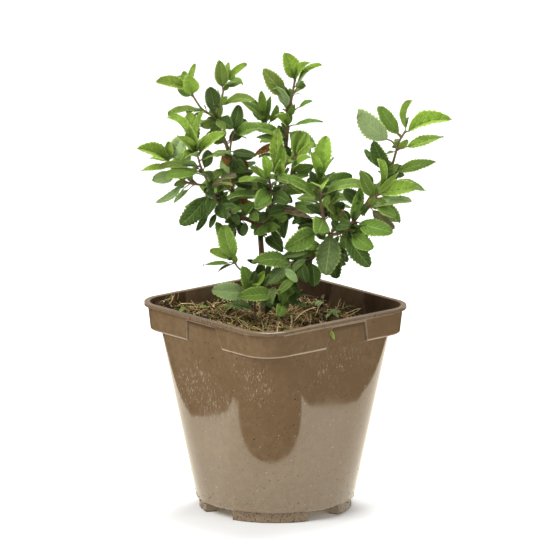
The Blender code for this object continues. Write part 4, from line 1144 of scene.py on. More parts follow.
# Every shoot: its route and its leaves as the picture shows them. A leaf is: place along the route, its
# tip (right, up, away), its width, the way its upper face looks and its stalk as a part of it all.
# One letter of looks gives each leaf's kind.
shoots = {
    "trunk": dict(
        stem="main", thick=(2.2, 1.8), looks="dmmd",
        route=((-7, 112, 10), (-8, 138, 10), (-8, 150, 10), (-9, 165, 9), (-10, 179, 8)),
        leaves=(
            (0.62, -18, 156, 4, 3, "f", 0.3), (0.95, -12, 172, -6, 7, "f", 0.3),
            (0.98, 2, 176, -8, 8, "f", 0.3), (0.9, 5, 162, -2, 9, "f", 0.25),
        ),
    ),
    "leftBranch": dict(
        stem="main", thick=(1.7, 1.2), hidden=6, looks="dddddmddmpprm",
        route=(
            (-10, 178, 8), (-16, 181, 6), (-24, 184, 3), (-31, 188, 0), (-38, 195, -3), (-42, 203, -5),
        ),
        leaves=(
            (0.97, -43, 199, -26, 12, "f", 0.25), (0.9, -60, 178, -14, 13, "f", 0.2),
            (0.85, -42, 186, -20, 8, "f", 0.3), (0.75, -32, 182, -20, 9, "f", 0.25),
            (0.62, -27, 190, -26, 7, "f", 0.3), (0.5, -22, 189, -17, 6, "f", 0.3),
            (0.8, -50, 174, -8, 5, "f", 0.4), (0.35, -20, 171, 0, 8, "f", 0.3),
            (0.3, -13, 192, -10, 7, "f", 0.2), (0.45, -27, 167, 2, 4, "f", 0.3),
            (0.97, -25, 210, -24, 9, "u", 0.15), (0.93, -27, 203, -30, 8, "u", 0.15),
            (0.6, -12, 196, -22, 7, "u", 0.2),
        ),
    ),
    "cutTwig": dict(
        stem="main", thick=(1.2, 1), looks="m",
        route=((-12, 180, 6), (-16, 186, 1), (-19, 190, -3)),
        leaves=(
            (0.6, -12, 181, -16, 7, "f", 0.2),
        ),
    ),
    "upperLeftStem": dict(
        stem="main", thick=(1.5, 1), hidden=5, looks="dddddmdoomdm",
        route=((-27, 186, 2), (-27, 200, 4), (-28, 216, 4), (-30, 226, 3), (-34, 236, 2), (-38, 246, 1)),
        leaves=(
            (0.5, -18, 212, -8, 9, "f", 0.2), (0.45, -26, 219, -16, 6, "f", 0.3),
            (0.4, -12, 211, -12, 6, "u", 0.25), (0.3, -15, 203, -15, 6, "u", 0.25),
            (0.62, -12, 222, -6, 7, "u", 0.15), (0.72, -35, 238, 12, 8, "f", 0.3),
            (0.98, -27, 239, -12, 10, "u", 0.15), (0.97, -33, 238, -18, 6, "u", 0.15),
            (0.96, -47, 240, -8, 7, "f", 0.25), (0.93, -37, 233, -6, 3.5, "f", 0.3),
            (0.99, -42, 265, 9, 11, "f", 0.2), (1, -37, 267, 13, 4, "r", 0.3),
        ),
    ),
    "leftCrown": dict(
        stem="main", thick=(0.9, 0.6), looks="yyyyom",
        route=((-38, 246, 1), (-43, 249, 0), (-47, 252, -1), (-51, 258, -1), (-55, 264, -1)),
        leaves=(
            (0.97, -74.5, 269.5, -6, 8, "uf", 0.1), (0.75, -55, 273, -8, 11, "f", 0.2),
            (1, -50.5, 280, 2, 4.5, "lf", 0.1), (0.98, -62, 272, 7, 7, "f", 0.15),
            (0.3, -68, 248.5, -4, 7, "u", 0.12), (0.25, -51, 247, -8, 4, "u", 0.3),
        ),
    ),
    "secondCrown": dict(
        stem="main", thick=(0.9, 0.6), looks="oyymo",
        route=((-38, 245, 1), (-36.5, 250, 1), (-34.5, 255, 1), (-33, 262, 1), (-31, 269, 1)),
        leaves=(
            (0.7, -35, 282, -3, 9.5, "f", 0.2), (0.98, -18, 280, 4, 5, "uf", 0.1),
            (1, -29.5, 281, 5, 4, "f", 0.1), (0.85, -22, 268, -14, 10, "u", 0.15),
            (0.35, -13, 257, -8, 10, "u", 0.12),
        ),
    ),
    "uprightPair": dict(
        stem="main", thick=(0.8, 0.6), looks="dm",
        route=((-29, 221, 3), (-28, 230, 0), (-26, 237, -2)),
        leaves=(
            (0.95, -23, 254, -1, 9, "f", 0.12), (0.9, -8, 240, -8, 11, "uf", 0.12),
        ),
    ),
    "leftRosette": dict(
        stem="main", thick=(1, 0.6), hidden=1, looks="yyyyyyyyoom",
        route=((-41, 201, -4), (-43, 206, -8), (-46, 212, -12), (-48, 218, -15), (-50, 225, -17)),
        leaves=(
            (0.97, -66, 247.5, -12, 7, "ru", 0.15), (1, -54, 249.5, -5, 11, "f", 0.15),
            (1, -45.5, 250, -9, 6.5, "lf", 0.15), (0.97, -54.5, 240, -27, 9, "f", 0.1),
            (0.93, -60, 234, -30, 6, "rf", 0.12), (0.95, -44.5, 234, -30, 4.5, "lf", 0.12),
            (0.9, -31.5, 236, -28, 10, "uf", 0.1), (0.85, -57.5, 221, -31, 8, "u", 0.15),
            (0.75, -28, 224, -27, 8, "u", 0.12), (0.6, -73, 215.5, -19, 5, "u", 0.2),
            (0.5, -69, 210.5, -21, 8, "u", 0.12),
        ),
    ),
    "farLeftRosette": dict(
        stem="main", thick=(0.9, 0.5), hidden=2, looks="yygyggmg",
        route=((-42, 203, -5), (-52, 204, -6), (-58, 206, -6), (-63, 210, -5), (-68, 219, -4)),
        leaves=(
            (0.97, -85.5, 226.5, -25, 12, "uf", 0.12), (1, -67.5, 231, -3, 6.5, "f", 0.1),
            (0.98, -59, 234.5, 6, 11, "f", 0.15), (0.85, -85, 212, -10, 7, "u", 0.12),
            (0.65, -78, 206.5, -13, 9, "uf", 0.15), (0.45, -75.5, 192, -14, 5.5, "f", 0.15),
            (0.35, -60, 195, -19, 5.5, "lf", 0.2), (0.25, -64.5, 192, -6, 4, "uf", 0.3),
        ),
    ),
    "centreBranch": dict(
        stem="main", thick=(1.7, 1.1), hidden=6, looks="wmmmr",
        route=((-10, 174, 9), (-7, 182, 10), (-2, 192, 11), (4, 206, 12), (6, 220, 12), (7.5, 236, 10)),
        leaves=(
            (0.25, 22, 182.5, -14, 5.5, "f", 0.25), (0.08, 8, 184, -4, 9, "f", 0.15),
            (0.97, -20, 241.5, -4, 9, "u", 0.12), (0.95, -12, 233, -8, 6, "uf", 0.15),
            (0.9, -13.5, 222, 4, 6, "uf", 0.15),
        ),
    ),
    "topShoot": dict(
        stem="main", thick=(1.1, 0.7), looks="yogyymmmmym",
        route=((7.5, 236, 10), (8, 246, 9), (9.5, 254, 8), (11, 262, 7), (12.5, 270, 6)),
        leaves=(
            (0.97, 6, 287, 2, 12, "f", 0.12), (0.55, -7, 276, -6, 12.5, "uf", 0.3),
            (0.3, 0.5, 265, -7, 11, "fb", 0.3), (1, 21, 280, -6, 9.5, "lf", 0.12),
            (0.7, 29, 279.5, -2, 7, "ul", 0.25), (0.85, 19, 267, 8, 5, "f", 0.3),
            (0.3, 23.5, 256, -4, 7, "u", 0.55), (0.1, 30.3, 243, -6, 7, "u", 0.25),
            (0.6, 9, 263, 16, 5, "f", 0.3), (0.12, 0, 247, 3, 9, "uf", 0.2),
            (0.03, 25.2, 227.5, 2, 13, "u", 0.1),
        ),
    ),
    "backShoot": dict(
        stem="main", thick=(0.9, 0.6), hidden=1, looks="ymmmm",
        route=((6, 224, 12), (0, 236, 15), (-5, 241, 15), (-7, 246, 14)),
        leaves=(
            (0.97, -9, 263, 11, 6, "f", 0.3), (0.95, -22.5, 256, 6, 8, "u", 0.2),
            (0.9, -15.5, 259, 18, 4.5, "f", 0.2), (0.85, -2.7, 260, 15, 5, "f", 0.25),
            (0.75, 1.5, 254, 9, 5, "f", 0.25),
        ),
    ),
    "middleRosette": dict(
        stem="main", thick=(1.2, 0.7), hidden=1, looks="yyyyymmdddm",
        route=((-8, 176, 8), (-4, 184, 3), (-3, 193, -3), (-3, 201, -8), (-4, 208, -12)),
        leaves=(
            (1, -7, 222, -11, 7.5, "f", 0.12), (0.97, -15.5, 215, -14, 5, "uf", 0.12),
            (0.95, -12.5, 216, -19, 4, "rf", 0.12), (0.85, -23.5, 205.5, -24, 7, "u", 0.12),
            (0.9, -17, 207, -29, 5.5, "u", 0.12), (0.75, -12, 190.5, -31, 12, "f", 0.12),
            (0.8, 8.7, 206.5, -27, 6.5, "u", 0.12), (0.7, 9.3, 192, -23, 9, "f", 0.15),
            (0.3, -12, 180.5, -15, 7, "f", 0.2), (0.2, 14, 187, 4, 9, "f", 0.15),
            (0.6, -30, 197, -21, 6.5, "u", 0.12),
        ),
    ),
    "innerRosette": dict(
        stem="main", thick=(0.9, 0.6), looks="yyyy",
        route=((-3, 196, -5), (0, 203, -7), (1, 210, -9)),
        leaves=(
            (0.95, 1, 240, 3, 10, "f", 0.12), (1, 4, 229.5, -9, 8, "f", 0.12),
            (0.97, 4, 219, -17, 7, "f", 0.12), (0.9, -1.8, 220.5, -16, 3.5, "rf", 0.15),
        ),
    ),
    "paleRosette": dict(
        stem="main", thick=(0.9, 0.6), hidden=1, looks="yyyyymm",
        route=((-3, 190, 0), (4, 199, -4), (9, 206, -6), (11, 213, -9), (13, 220, -11)),
        leaves=(
            (0.97, 16, 237, -2, 11, "f", 0.12), (1, 11, 234, -12, 4.5, "l", 0.12),
            (1, 20.5, 235.5, -9, 8, "f", 0.12), (0.95, 24.3, 230, -13, 5, "uf", 0.12),
            (0.8, 21.7, 220.5, -25, 9, "uf", 0.12), (0.75, 24, 215.5, -14, 8, "f", 0.15),
            (0.6, 21, 209.5, -15, 7, "u", 0.15),
        ),
    ),
    "rightBranch": dict(
        stem="right", thick=(1.8, 1.3), looks="sdmddmddmmdd",
        route=(
            (4, 111, 4), (7, 132, 2), (13, 149, 1), (18, 153, 0), (24, 158, -1), (31.5, 164, -2),
            (35, 172, -3),
        ),
        leaves=(
            (1, 31.6, 147, -22, 17, "f", 0.06), (0.98, 39, 144, -6, 13, "f", 0.15),
            (0.55, 22, 146, -4, 9, "f", 0.15), (0.8, 12, 170, 0, 9, "f", 0.15),
            (0.6, 3, 150, -6, 8, "f", 0.15), (0.88, 17, 165, -11, 7, "uf", 0.2),
            (0.72, 25, 139, -12, 10, "f", 0.2), (0.74, 9.3, 146, -10, 8, "f", 0.2),
            (0.64, -14, 154, -23, 13, "uf", 0.3), (0.56, -6, 142, -20, 11, "f", 0.15),
            (0.48, 13, 142, -18, 8, "f", 0.25), (0.85, 5.5, 158, -8, 8, "f", 0.3),
        ),
    ),
    "cutStub": dict(
        stem="right", thick=(1.2, 1.1), looks="d",
        route=((36, 174, -4), (40, 182, -6), (43, 187.5, -7)),
        leaves=(
            (0.3, 47, 177.5, -22, 9, "uf", 0.15),
        ),
    ),
    "rightMiddleShoot": dict(
        stem="right", thick=(1.3, 0.7), hidden=2, looks="yyyymmmmmdmmddd",
        route=(
            (35, 171, -3), (31.5, 178, -6), (30.3, 184.5, -8), (29, 190.7, -9), (28.4, 200, -10),
            (28.4, 207, -10),
        ),
        leaves=(
            (1, 32.5, 234.5, -4, 12.5, "f", 0.12), (0.97, 23, 224, -16, 6.5, "rf", 0.1),
            (0.98, 37.7, 220.6, -17, 6.5, "lf", 0.1), (0.88, 28.5, 201.5, -27, 12, "u", 0.1),
            (0.72, 54.4, 205, -18, 10, "u", 0.15), (0.85, 48.7, 208, 0, 9, "u", 0.12),
            (0.6, 4.5, 209.5, -27, 9.5, "u", 0.2), (0.62, 21, 208, -4, 7, "f", 0.3),
            (0.5, 40, 199, -4, 6.5, "f", 0.3), (0.45, 20, 190, 4, 8, "f", 0.15),
            (0.35, 27.5, 173.5, -29, 13.5, "f", 0.12), (0.22, 5.5, 163.5, -27, 15, "f", 0.3),
            (0.1, 12, 184, 8, 9, "f", 0.2), (0.3, 44, 192, -2, 9, "f", 0.2),
            (0.15, 14, 176, -2, 10, "f", 0.15),
        ),
    ),
    "lowerRightShoot": dict(
        stem="right", thick=(1.2, 0.8), hidden=2, looks="ymygmmmddmpmmm",
        route=(
            (35, 172, -3), (41, 173, -4), (47.5, 177.5, -6), (52.5, 184, -8), (57.5, 189.5, -10),
            (62.5, 194.5, -12), (65, 197.5, -13),
        ),
        leaves=(
            (1, 67, 219.5, -15, 6, "rf", 0.08), (0.9, 53.5, 212, -18, 9, "f", 0.1),
            (1, 89.3, 201.5, -20, 12, "uf", 0.08), (0.62, 86, 193.5, -22, 7, "u", 0.25),
            (0.93, 78.5, 179, -6, 11, "f", 0.12), (0.4, 73.5, 174, -27, 13, "uf", 0.2),
            (0.25, 61.5, 163, -24, 11, "f", 0.3), (0.22, 60, 151.5, -15, 13, "f", 0.12),
            (0.3, 63, 177, -16, 9, "f", 0.15), (0.12, 48, 163, -6, 8, "f", 0.2),
            (0.75, 75.5, 175.5, -14, 8, "f", 0.2), (0.55, 52, 197, -2, 7, "f", 0.15),
            (0.35, 54, 203, -12, 9, "f", 0.15), (0.38, 34, 189.5, -3, 8, "f", 0.15),
        ),
    ),
    "upperRightShoot": dict(
        stem="right", thick=(1.3, 0.7), looks="gmyyymmddmm",
        route=(
            (47, 177, -5), (54, 186, 3), (60, 195, 6), (64, 202, 7), (72, 211, 6), (76, 222.5, 5),
            (78.5, 231, 4), (82.5, 237.5, 3),
        ),
        leaves=(
            (0.82, 52, 250, -8, 15, "f", 0.28), (0.92, 66, 253, -1, 10, "rf", 0.15),
            (1, 84.5, 257, 2, 6.5, "lf", 0.1), (0.98, 111, 245, -8, 12.5, "uf", 0.1),
            (0.8, 106.8, 233.5, 0, 9.5, "uf", 0.25), (0.58, 102, 217.5, -8, 9.5, "uf", 0.25),
            (0.5, 95.4, 199.5, 4, 10, "u", 0.25), (0.6, 62, 231, 1, 11.5, "f", 0.12),
            (0.62, 56.5, 226, 10, 5, "f", 0.2), (0.57, 77.5, 216.5, -3, 5.5, "f", 0.1),
            (0.42, 53.8, 212, 5, 7.5, "uf", 0.2),
        ),
    ),
    "lowShoot": dict(
        stem="low", thick=(0.9, 0.6), hidden=1, looks="mymmgmd",
        route=(
            (-12, 108, -6), (-13, 128, -10), (-14.5, 141, -12), (-20.5, 148, -13), (-24.3, 152, -13),
            (-27, 156, -13),
        ),
        leaves=(
            (0.92, -32.5, 178, -15, 12.5, "f", 0.22), (1, -41.5, 162, -12, 6.5, "uf", 0.12),
            (0.95, -46, 152, -18, 5.5, "u", 0.2), (0.97, -37, 180, -5, 8.5, "f", 0.25),
            (0.5, -40, 137, -20, 12.5, "uf", 0.2), (0.5, -20.5, 152, -22, 10.5, "f", 0.12),
            (0.6, -12.5, 149, -26, 6.5, "f", 0.15),
        ),
    ),
    "backLeftShoot": dict(
        stem="main", thick=(1.1, 0.6), looks="mmmmyymm",
        route=((-27, 191, 3), (-28, 198, 16), (-29, 203, 30), (-30, 208, 42)),
        leaves=(
            (0.97, -45, 212, 65, 12, "u", 0.12), (1, -20, 216, 62, 11, "u", 0.12),
            (0.9, -14, 205, 50, 10, "u", 0.12), (0.85, -48, 202, 48, 10, "u", 0.12),
            (0.98, -33, 222, 48, 8, "b", 0.12), (1, -27, 222, 42, 7, "b", 0.12),
            (0.55, -44, 196, 34, 9, "u", 0.15), (0.5, -14, 198, 30, 9, "u", 0.15),
        ),
    ),
    "backRightShoot": dict(
        stem="right", thick=(1.1, 0.6), looks="mmmmyym",
        route=((31.5, 178, -6), (30, 184, 10), (31, 190, 26), (34, 197, 38)),
        leaves=(
            (0.97, 26, 206, 60, 12, "u", 0.12), (1, 45, 205, 58, 11, "u", 0.12),
            (0.9, 14, 196, 44, 10, "u", 0.12), (0.85, 52, 196, 40, 10, "u", 0.12),
            (0.98, 30, 212, 42, 8, "b", 0.12), (1, 38, 212, 44, 7, "b", 0.12),
            (0.55, 48, 190, 26, 9, "u", 0.15),
        ),
    ),
    "crownShoot": dict(
        stem="right", thick=(0.9, 0.6), looks="mdmmddp",
        route=((7, 131, 2), (5, 130, -6), (6, 134, -14)),
        leaves=(
            (1, 1.7, 135, -26, 8.5, "f", 0.12), (0.8, 15, 135.5, -17, 8, "f", 0.2),
            (0.6, 1.5, 120.5, -30, 8, "f", 0.35), (0.95, -22.5, 133, -26, 11, "uf", 0.25),
            (0.7, -5, 128, -24, 6, "f", 0.15), (0.5, 20, 126, -18, 5, "u", 0.3),
            (0.9, 27.5, 132, -12, 2.2, "u", 0.2),
        ),
    ),
}

# Which way a leaf's upper face looks, by letter, and the rule for the leaves on the hidden side: its
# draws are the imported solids' own
facing = {
    "u": Vector((0, -0.6, 1)), "f": Vector((0, -1, 0.15)), "b": Vector((0, 1, 0)),
    "l": Vector((-1, 0, 0)), "r": Vector((1, 0, 0)),
}
hiddenSide = {
    "seed": 41, "length": (19.0, 27.0), "shape": (0.4, 0.52), "spread": 1.25, "lift": (-0.25, 0.65),
    "stalk": 0.18, "kinds": "dmmo",
}
leafArch = 0.07
smallLeaf = 6.0  # leaves narrower than this have the small shape


def faceOf(letters):
    return seenDirection(sum((facing[letter] for letter in letters), Vector()))


def smoothRoute(points):
    if len(points) < 5:
        return points
    ends = [2 * points[0] - points[1], *points, 2 * points[-1] - points[-2]]
    route = [points[0]]
    for before, start, end, after in zip(ends, ends[1:], ends[2:], ends[3:]):
        route.append((9 * (start + end) - before - after) / 16)
        route.append(end)
    return route


def pointAlong(route, part):
    lengths = [(b - a).length for a, b in zip(route, route[1:])]
    left = part * sum(lengths)
    for (start, end), length in zip(zip(route, route[1:]), lengths):
        if left <= length or end is route[-1]:
            return start.lerp(end, min(1.0, left / length)), (end - start).normalized()
        left -= length


def hiddenLeaves(route, count, draw):
    for index in range(count):
        part = 0.2 + 0.75 * (index + 0.5 * draw.random()) / max(1, count)
        root, _ = pointAlong(route, part)
        turn = hiddenSide["spread"] * (2.0 * (index % 2) - 1.0) * draw.uniform(0.15, 1.0)
        lift = draw.uniform(*hiddenSide["lift"])
        way = Vector((math.sin(turn), math.cos(turn), lift)).normalized()
        length = draw.uniform(*hiddenSide["length"])
        width = length * draw.uniform(*hiddenSide["shape"])
        yield root, root + seenDirection(way) * length, width, seenDirection((0, -0.3, 1))


# How each kind of leaf looks: its upper side's colour, and how young it is
leafKinds = {
    "y": (paint(150, 186, 58), 1.0), "m": (paint(114, 149, 48), 0.5), "o": (paint(124, 148, 49), 0.4),
    "d": (paint(64, 93, 25), 0.05), "g": (paint(160, 188, 122), 0.6), "s": (paint(107, 132, 72), 0.25),
    "p": (paint(100, 92, 66), 0.1), "w": (paint(134, 112, 90), 0.5), "r": (paint(204, 122, 48), 0.3),
}
toneSpread = 0.16  # how far one leaf's colour may stray from its kind's
leafRoll = 0.35  # how far a leaf may turn about its own length, in radians
leafCup = (0.6, 1.9)  # how deeply the blade folds and swells, as a share of its shape's own depth
wornKinds = "rw"


def squareTo(face, along):
    return (face - along * face.dot(along)).normalized()


class Wire:
    # lines with a radius and an age at each point, which stemTubes turns into stems and stalks
    def __init__(self):
        self.points, self.edges, self.thick, self.age, self.cut = [], [], [], [], []

    def add(self, path, radii, ages, cut=False):
        first = len(self.points)
        for index, (point, radius, age) in enumerate(zip(path, radii, ages)):
            self.points.append(point * mm)
            self.thick.append(radius * mm)
            self.age.append(age)
            self.cut.append(1.0 if cut and index == len(path) - 1 else 0.0)
            if index:
                self.edges.append((first + index - 1, first + index))

    def mesh(self, name):
        mesh = bpy.data.meshes.new(name)
        mesh.from_pydata(self.points, self.edges, [])
        for label, values in (("thick", self.thick), ("age", self.age), ("cut", self.cut)):
            markPoints(mesh, label, values)
        return mesh


class Spray:
    # one point for each leaf, with what leafSpray needs to place, shape and colour it
    def __init__(self):
        self.points = []
        self.vectors = {"leafAlong": [], "leafFace": [], "leafSize": [], "leafTint": []}
        self.numbers = {"leafLot": [], "leafYoung": [], "leafWorn": []}
        self.shapes = []

    def add(self, root, tip, width, face, kind, draw):
        span = tip - root
        along = span.normalized()
        normal = squareTo(face, along)
        normal = Matrix.Rotation(draw.uniform(-leafRoll, leafRoll), 3, along) @ normal
        colour, young = leafKinds[kind]
        shade = 1.0 + draw.uniform(-toneSpread, toneSpread)
        tint = [max(0.0, step * shade * (1 + draw.uniform(-0.05, 0.05))) for step in colour[:3]]
        if width < smallLeaf:
            shape = "leafShapeSmall"
        elif young == 1.0:
            shape = "leafShapeYoung"
        else:
            shape = draw.choice(("leafShapeBroad", "leafShapeFlat"))
        self.points.append(root * mm)
        self.vectors["leafAlong"].extend(along)
        self.vectors["leafFace"].extend(normal)
        self.vectors["leafSize"].extend((width / 2 * mm, span.length * mm,
                                         width / 2 * mm * draw.uniform(*leafCup)))
        self.vectors["leafTint"].extend(tint)
        self.numbers["leafLot"].append(draw.random())
        self.numbers["leafYoung"].append(young)
        self.numbers["leafWorn"].append(1.0 if kind in wornKinds else 0.0)
        self.shapes.append(sorted(leafShapes).index(shape))

    def mesh(self, name):
        mesh = bpy.data.meshes.new(name)
        mesh.from_pydata(self.points, [], [])
        for label, values in self.vectors.items():
            markPoints(mesh, label, values, "FLOAT_VECTOR")
        for label, values in self.numbers.items():
            markPoints(mesh, label, values)
        markPoints(mesh, "leafShape", self.shapes, "INT")
        return mesh


# how stems swell at each leaf and narrow as a whole, and how thick a stalk is for its leaf's width
stemForm = {"swell": 0.22, "swellReach": 0.025, "slim": 0.93}
stalkForm = {"least": 0.24, "growth": 0.024, "most": 0.55, "steps": 5, "age": 0.9}


def addStem(wire, name, route, shoot, youth):
    # the stem swells a little where leaves leave it, and roughens towards its foot
    path = finePath(route, 4)
    start, end = shoot["thick"]
    steps = len(path) - 1
    joints = [leaf[0] for leaf in shoot["leaves"]]
    radii, ages = [], []
    for index in range(steps + 1):
        part = index / steps
        near = min((abs(part - joint) for joint in joints), default=1.0)
        bulge = 1.0 + stemForm["swell"] * math.exp(-((near / stemForm["swellReach"]) ** 2))
        radii.append((start + (end - start) * part) * bulge * stemForm["slim"])
        ages.append(youth[0] + (youth[1] - youth[0]) * part)
    cut = name in ("cutTwig", "cutStub")
    if cut:
        path.insert(-1, path[-1].lerp(path[-2], 0.05))
        radii.insert(-1, radii[-1])
        ages.insert(-1, ages[-1])
    if name == "lowShoot":
        radii = [radius * min(1.0, 0.55 + 0.9 * index / steps) for index, radius in enumerate(radii)]
    wire.add(path, radii, ages, cut)


def addStalk(wire, root, course, base, tip, width, face):
    # the stalk bends out of the stem and runs into the blade's midrib
    along = (tip - base).normalized()
    normal = squareTo(face, along)
    reach = (base - root).length
    bend = root + course * reach * 0.3 + along * reach * 0.4
    path = []
    steps = stalkForm["steps"]
    for step in range(steps + 1):
        t = step / steps
        path.append(root * (1 - t) ** 2 + bend * 2 * t * (1 - t) + base * t**2)
    path.append(base + along * width * 0.12 - normal * width * 0.03)
    size = min(stalkForm["most"], stalkForm["least"] + width * stalkForm["growth"])
    wire.add(path, [size * (1.25 - 0.08 * step) for step in range(len(path))],
             [stalkForm["age"]] * len(path))


def addLeaf(wire, spray, root, course, tip, width, face, stalk, kind, draw):
    span = tip - root
    along = span.normalized()
    normal = squareTo(face, along)
    base = root + span * stalk + normal * leafArch * span.length * math.sin(math.pi * stalk)
    addStalk(wire, root, course, base, tip, width, face)
    spray.add(base, tip, width, face, kind, draw)


# how young each stem is, from 0 for bark to 1 for a soft tip, at its foot and its end
stemAges = {
    "trunk": (0.0, 0.18), "leftBranch": (0.2, 0.4), "cutTwig": (0.15, 0.2), "upperLeftStem": (0.35, 0.7),
    "centreBranch": (0.2, 0.55), "rightBranch": (0.1, 0.4), "cutStub": (0.3, 0.3),
    "lowerRightShoot": (0.45, 0.8), "upperRightShoot": (0.45, 0.85), "lowShoot": (0.3, 0.7),
}
# the pieces that each stem's leaves and tubes go to; leftShoots' leaves go to left_leaves
leafPieces = {"main": "centre_leaves", "right": "right_leaves", "low": "low_leaves"}
stemPieces = {"main": "main_stems", "right": "right_stems", "low": "low_stems"}
leftShoots = ("trunk", "leftBranch", "cutTwig", "upperLeftStem", "leftCrown", "secondCrown",
              "uprightPair", "leftRosette", "farLeftRosette", "backLeftShoot")


def growPlant():
    wires, sprays = {}, {}
    place = random.Random(hiddenSide["seed"])
    tones, small = random.Random(5), random.Random(19)
    for name, shoot in shoots.items():
        route = smoothRoute([seen(*point) for point in shoot["route"]])
        wire = wires.setdefault(stemPieces[shoot["stem"]], Wire())
        leavesName = "left_leaves" if name in leftShoots else leafPieces[shoot["stem"]]
        spray = sprays.setdefault(leavesName, Spray())
        buds = sprays.setdefault(leavesName.replace("leaves", "small_leaves"), Spray())
        addStem(wire, name, route, shoot, stemAges.get(name, (0.6, 1.0)))
        for (part, right, rise, away, width, letters, stalk), kind in zip(shoot["leaves"], shoot["looks"]):
            root, course = pointAlong(route, part)
            face, tip = faceOf(letters), seen(right, rise, away)
            addLeaf(wire, spray, root, course, tip, width, face, stalk, kind, tones)
            along = (tip - root).normalized()
            addAxilLeaves(wire, buds, root, course, face, along, kind, small)
        addFillLeaves(wire, spray, name, route, tones)
        addInnerLeaves(wire, buds, name, route, small)
        for root, tip, width, face in hiddenLeaves(route, shoot.get("hidden", 0), place):
            course = (tip - root).normalized()
            addLeaf(wire, spray, root, course, tip, width, face, hiddenSide["stalk"],
                    tones.choice(hiddenSide["kinds"]), tones)
    return wires, sprays


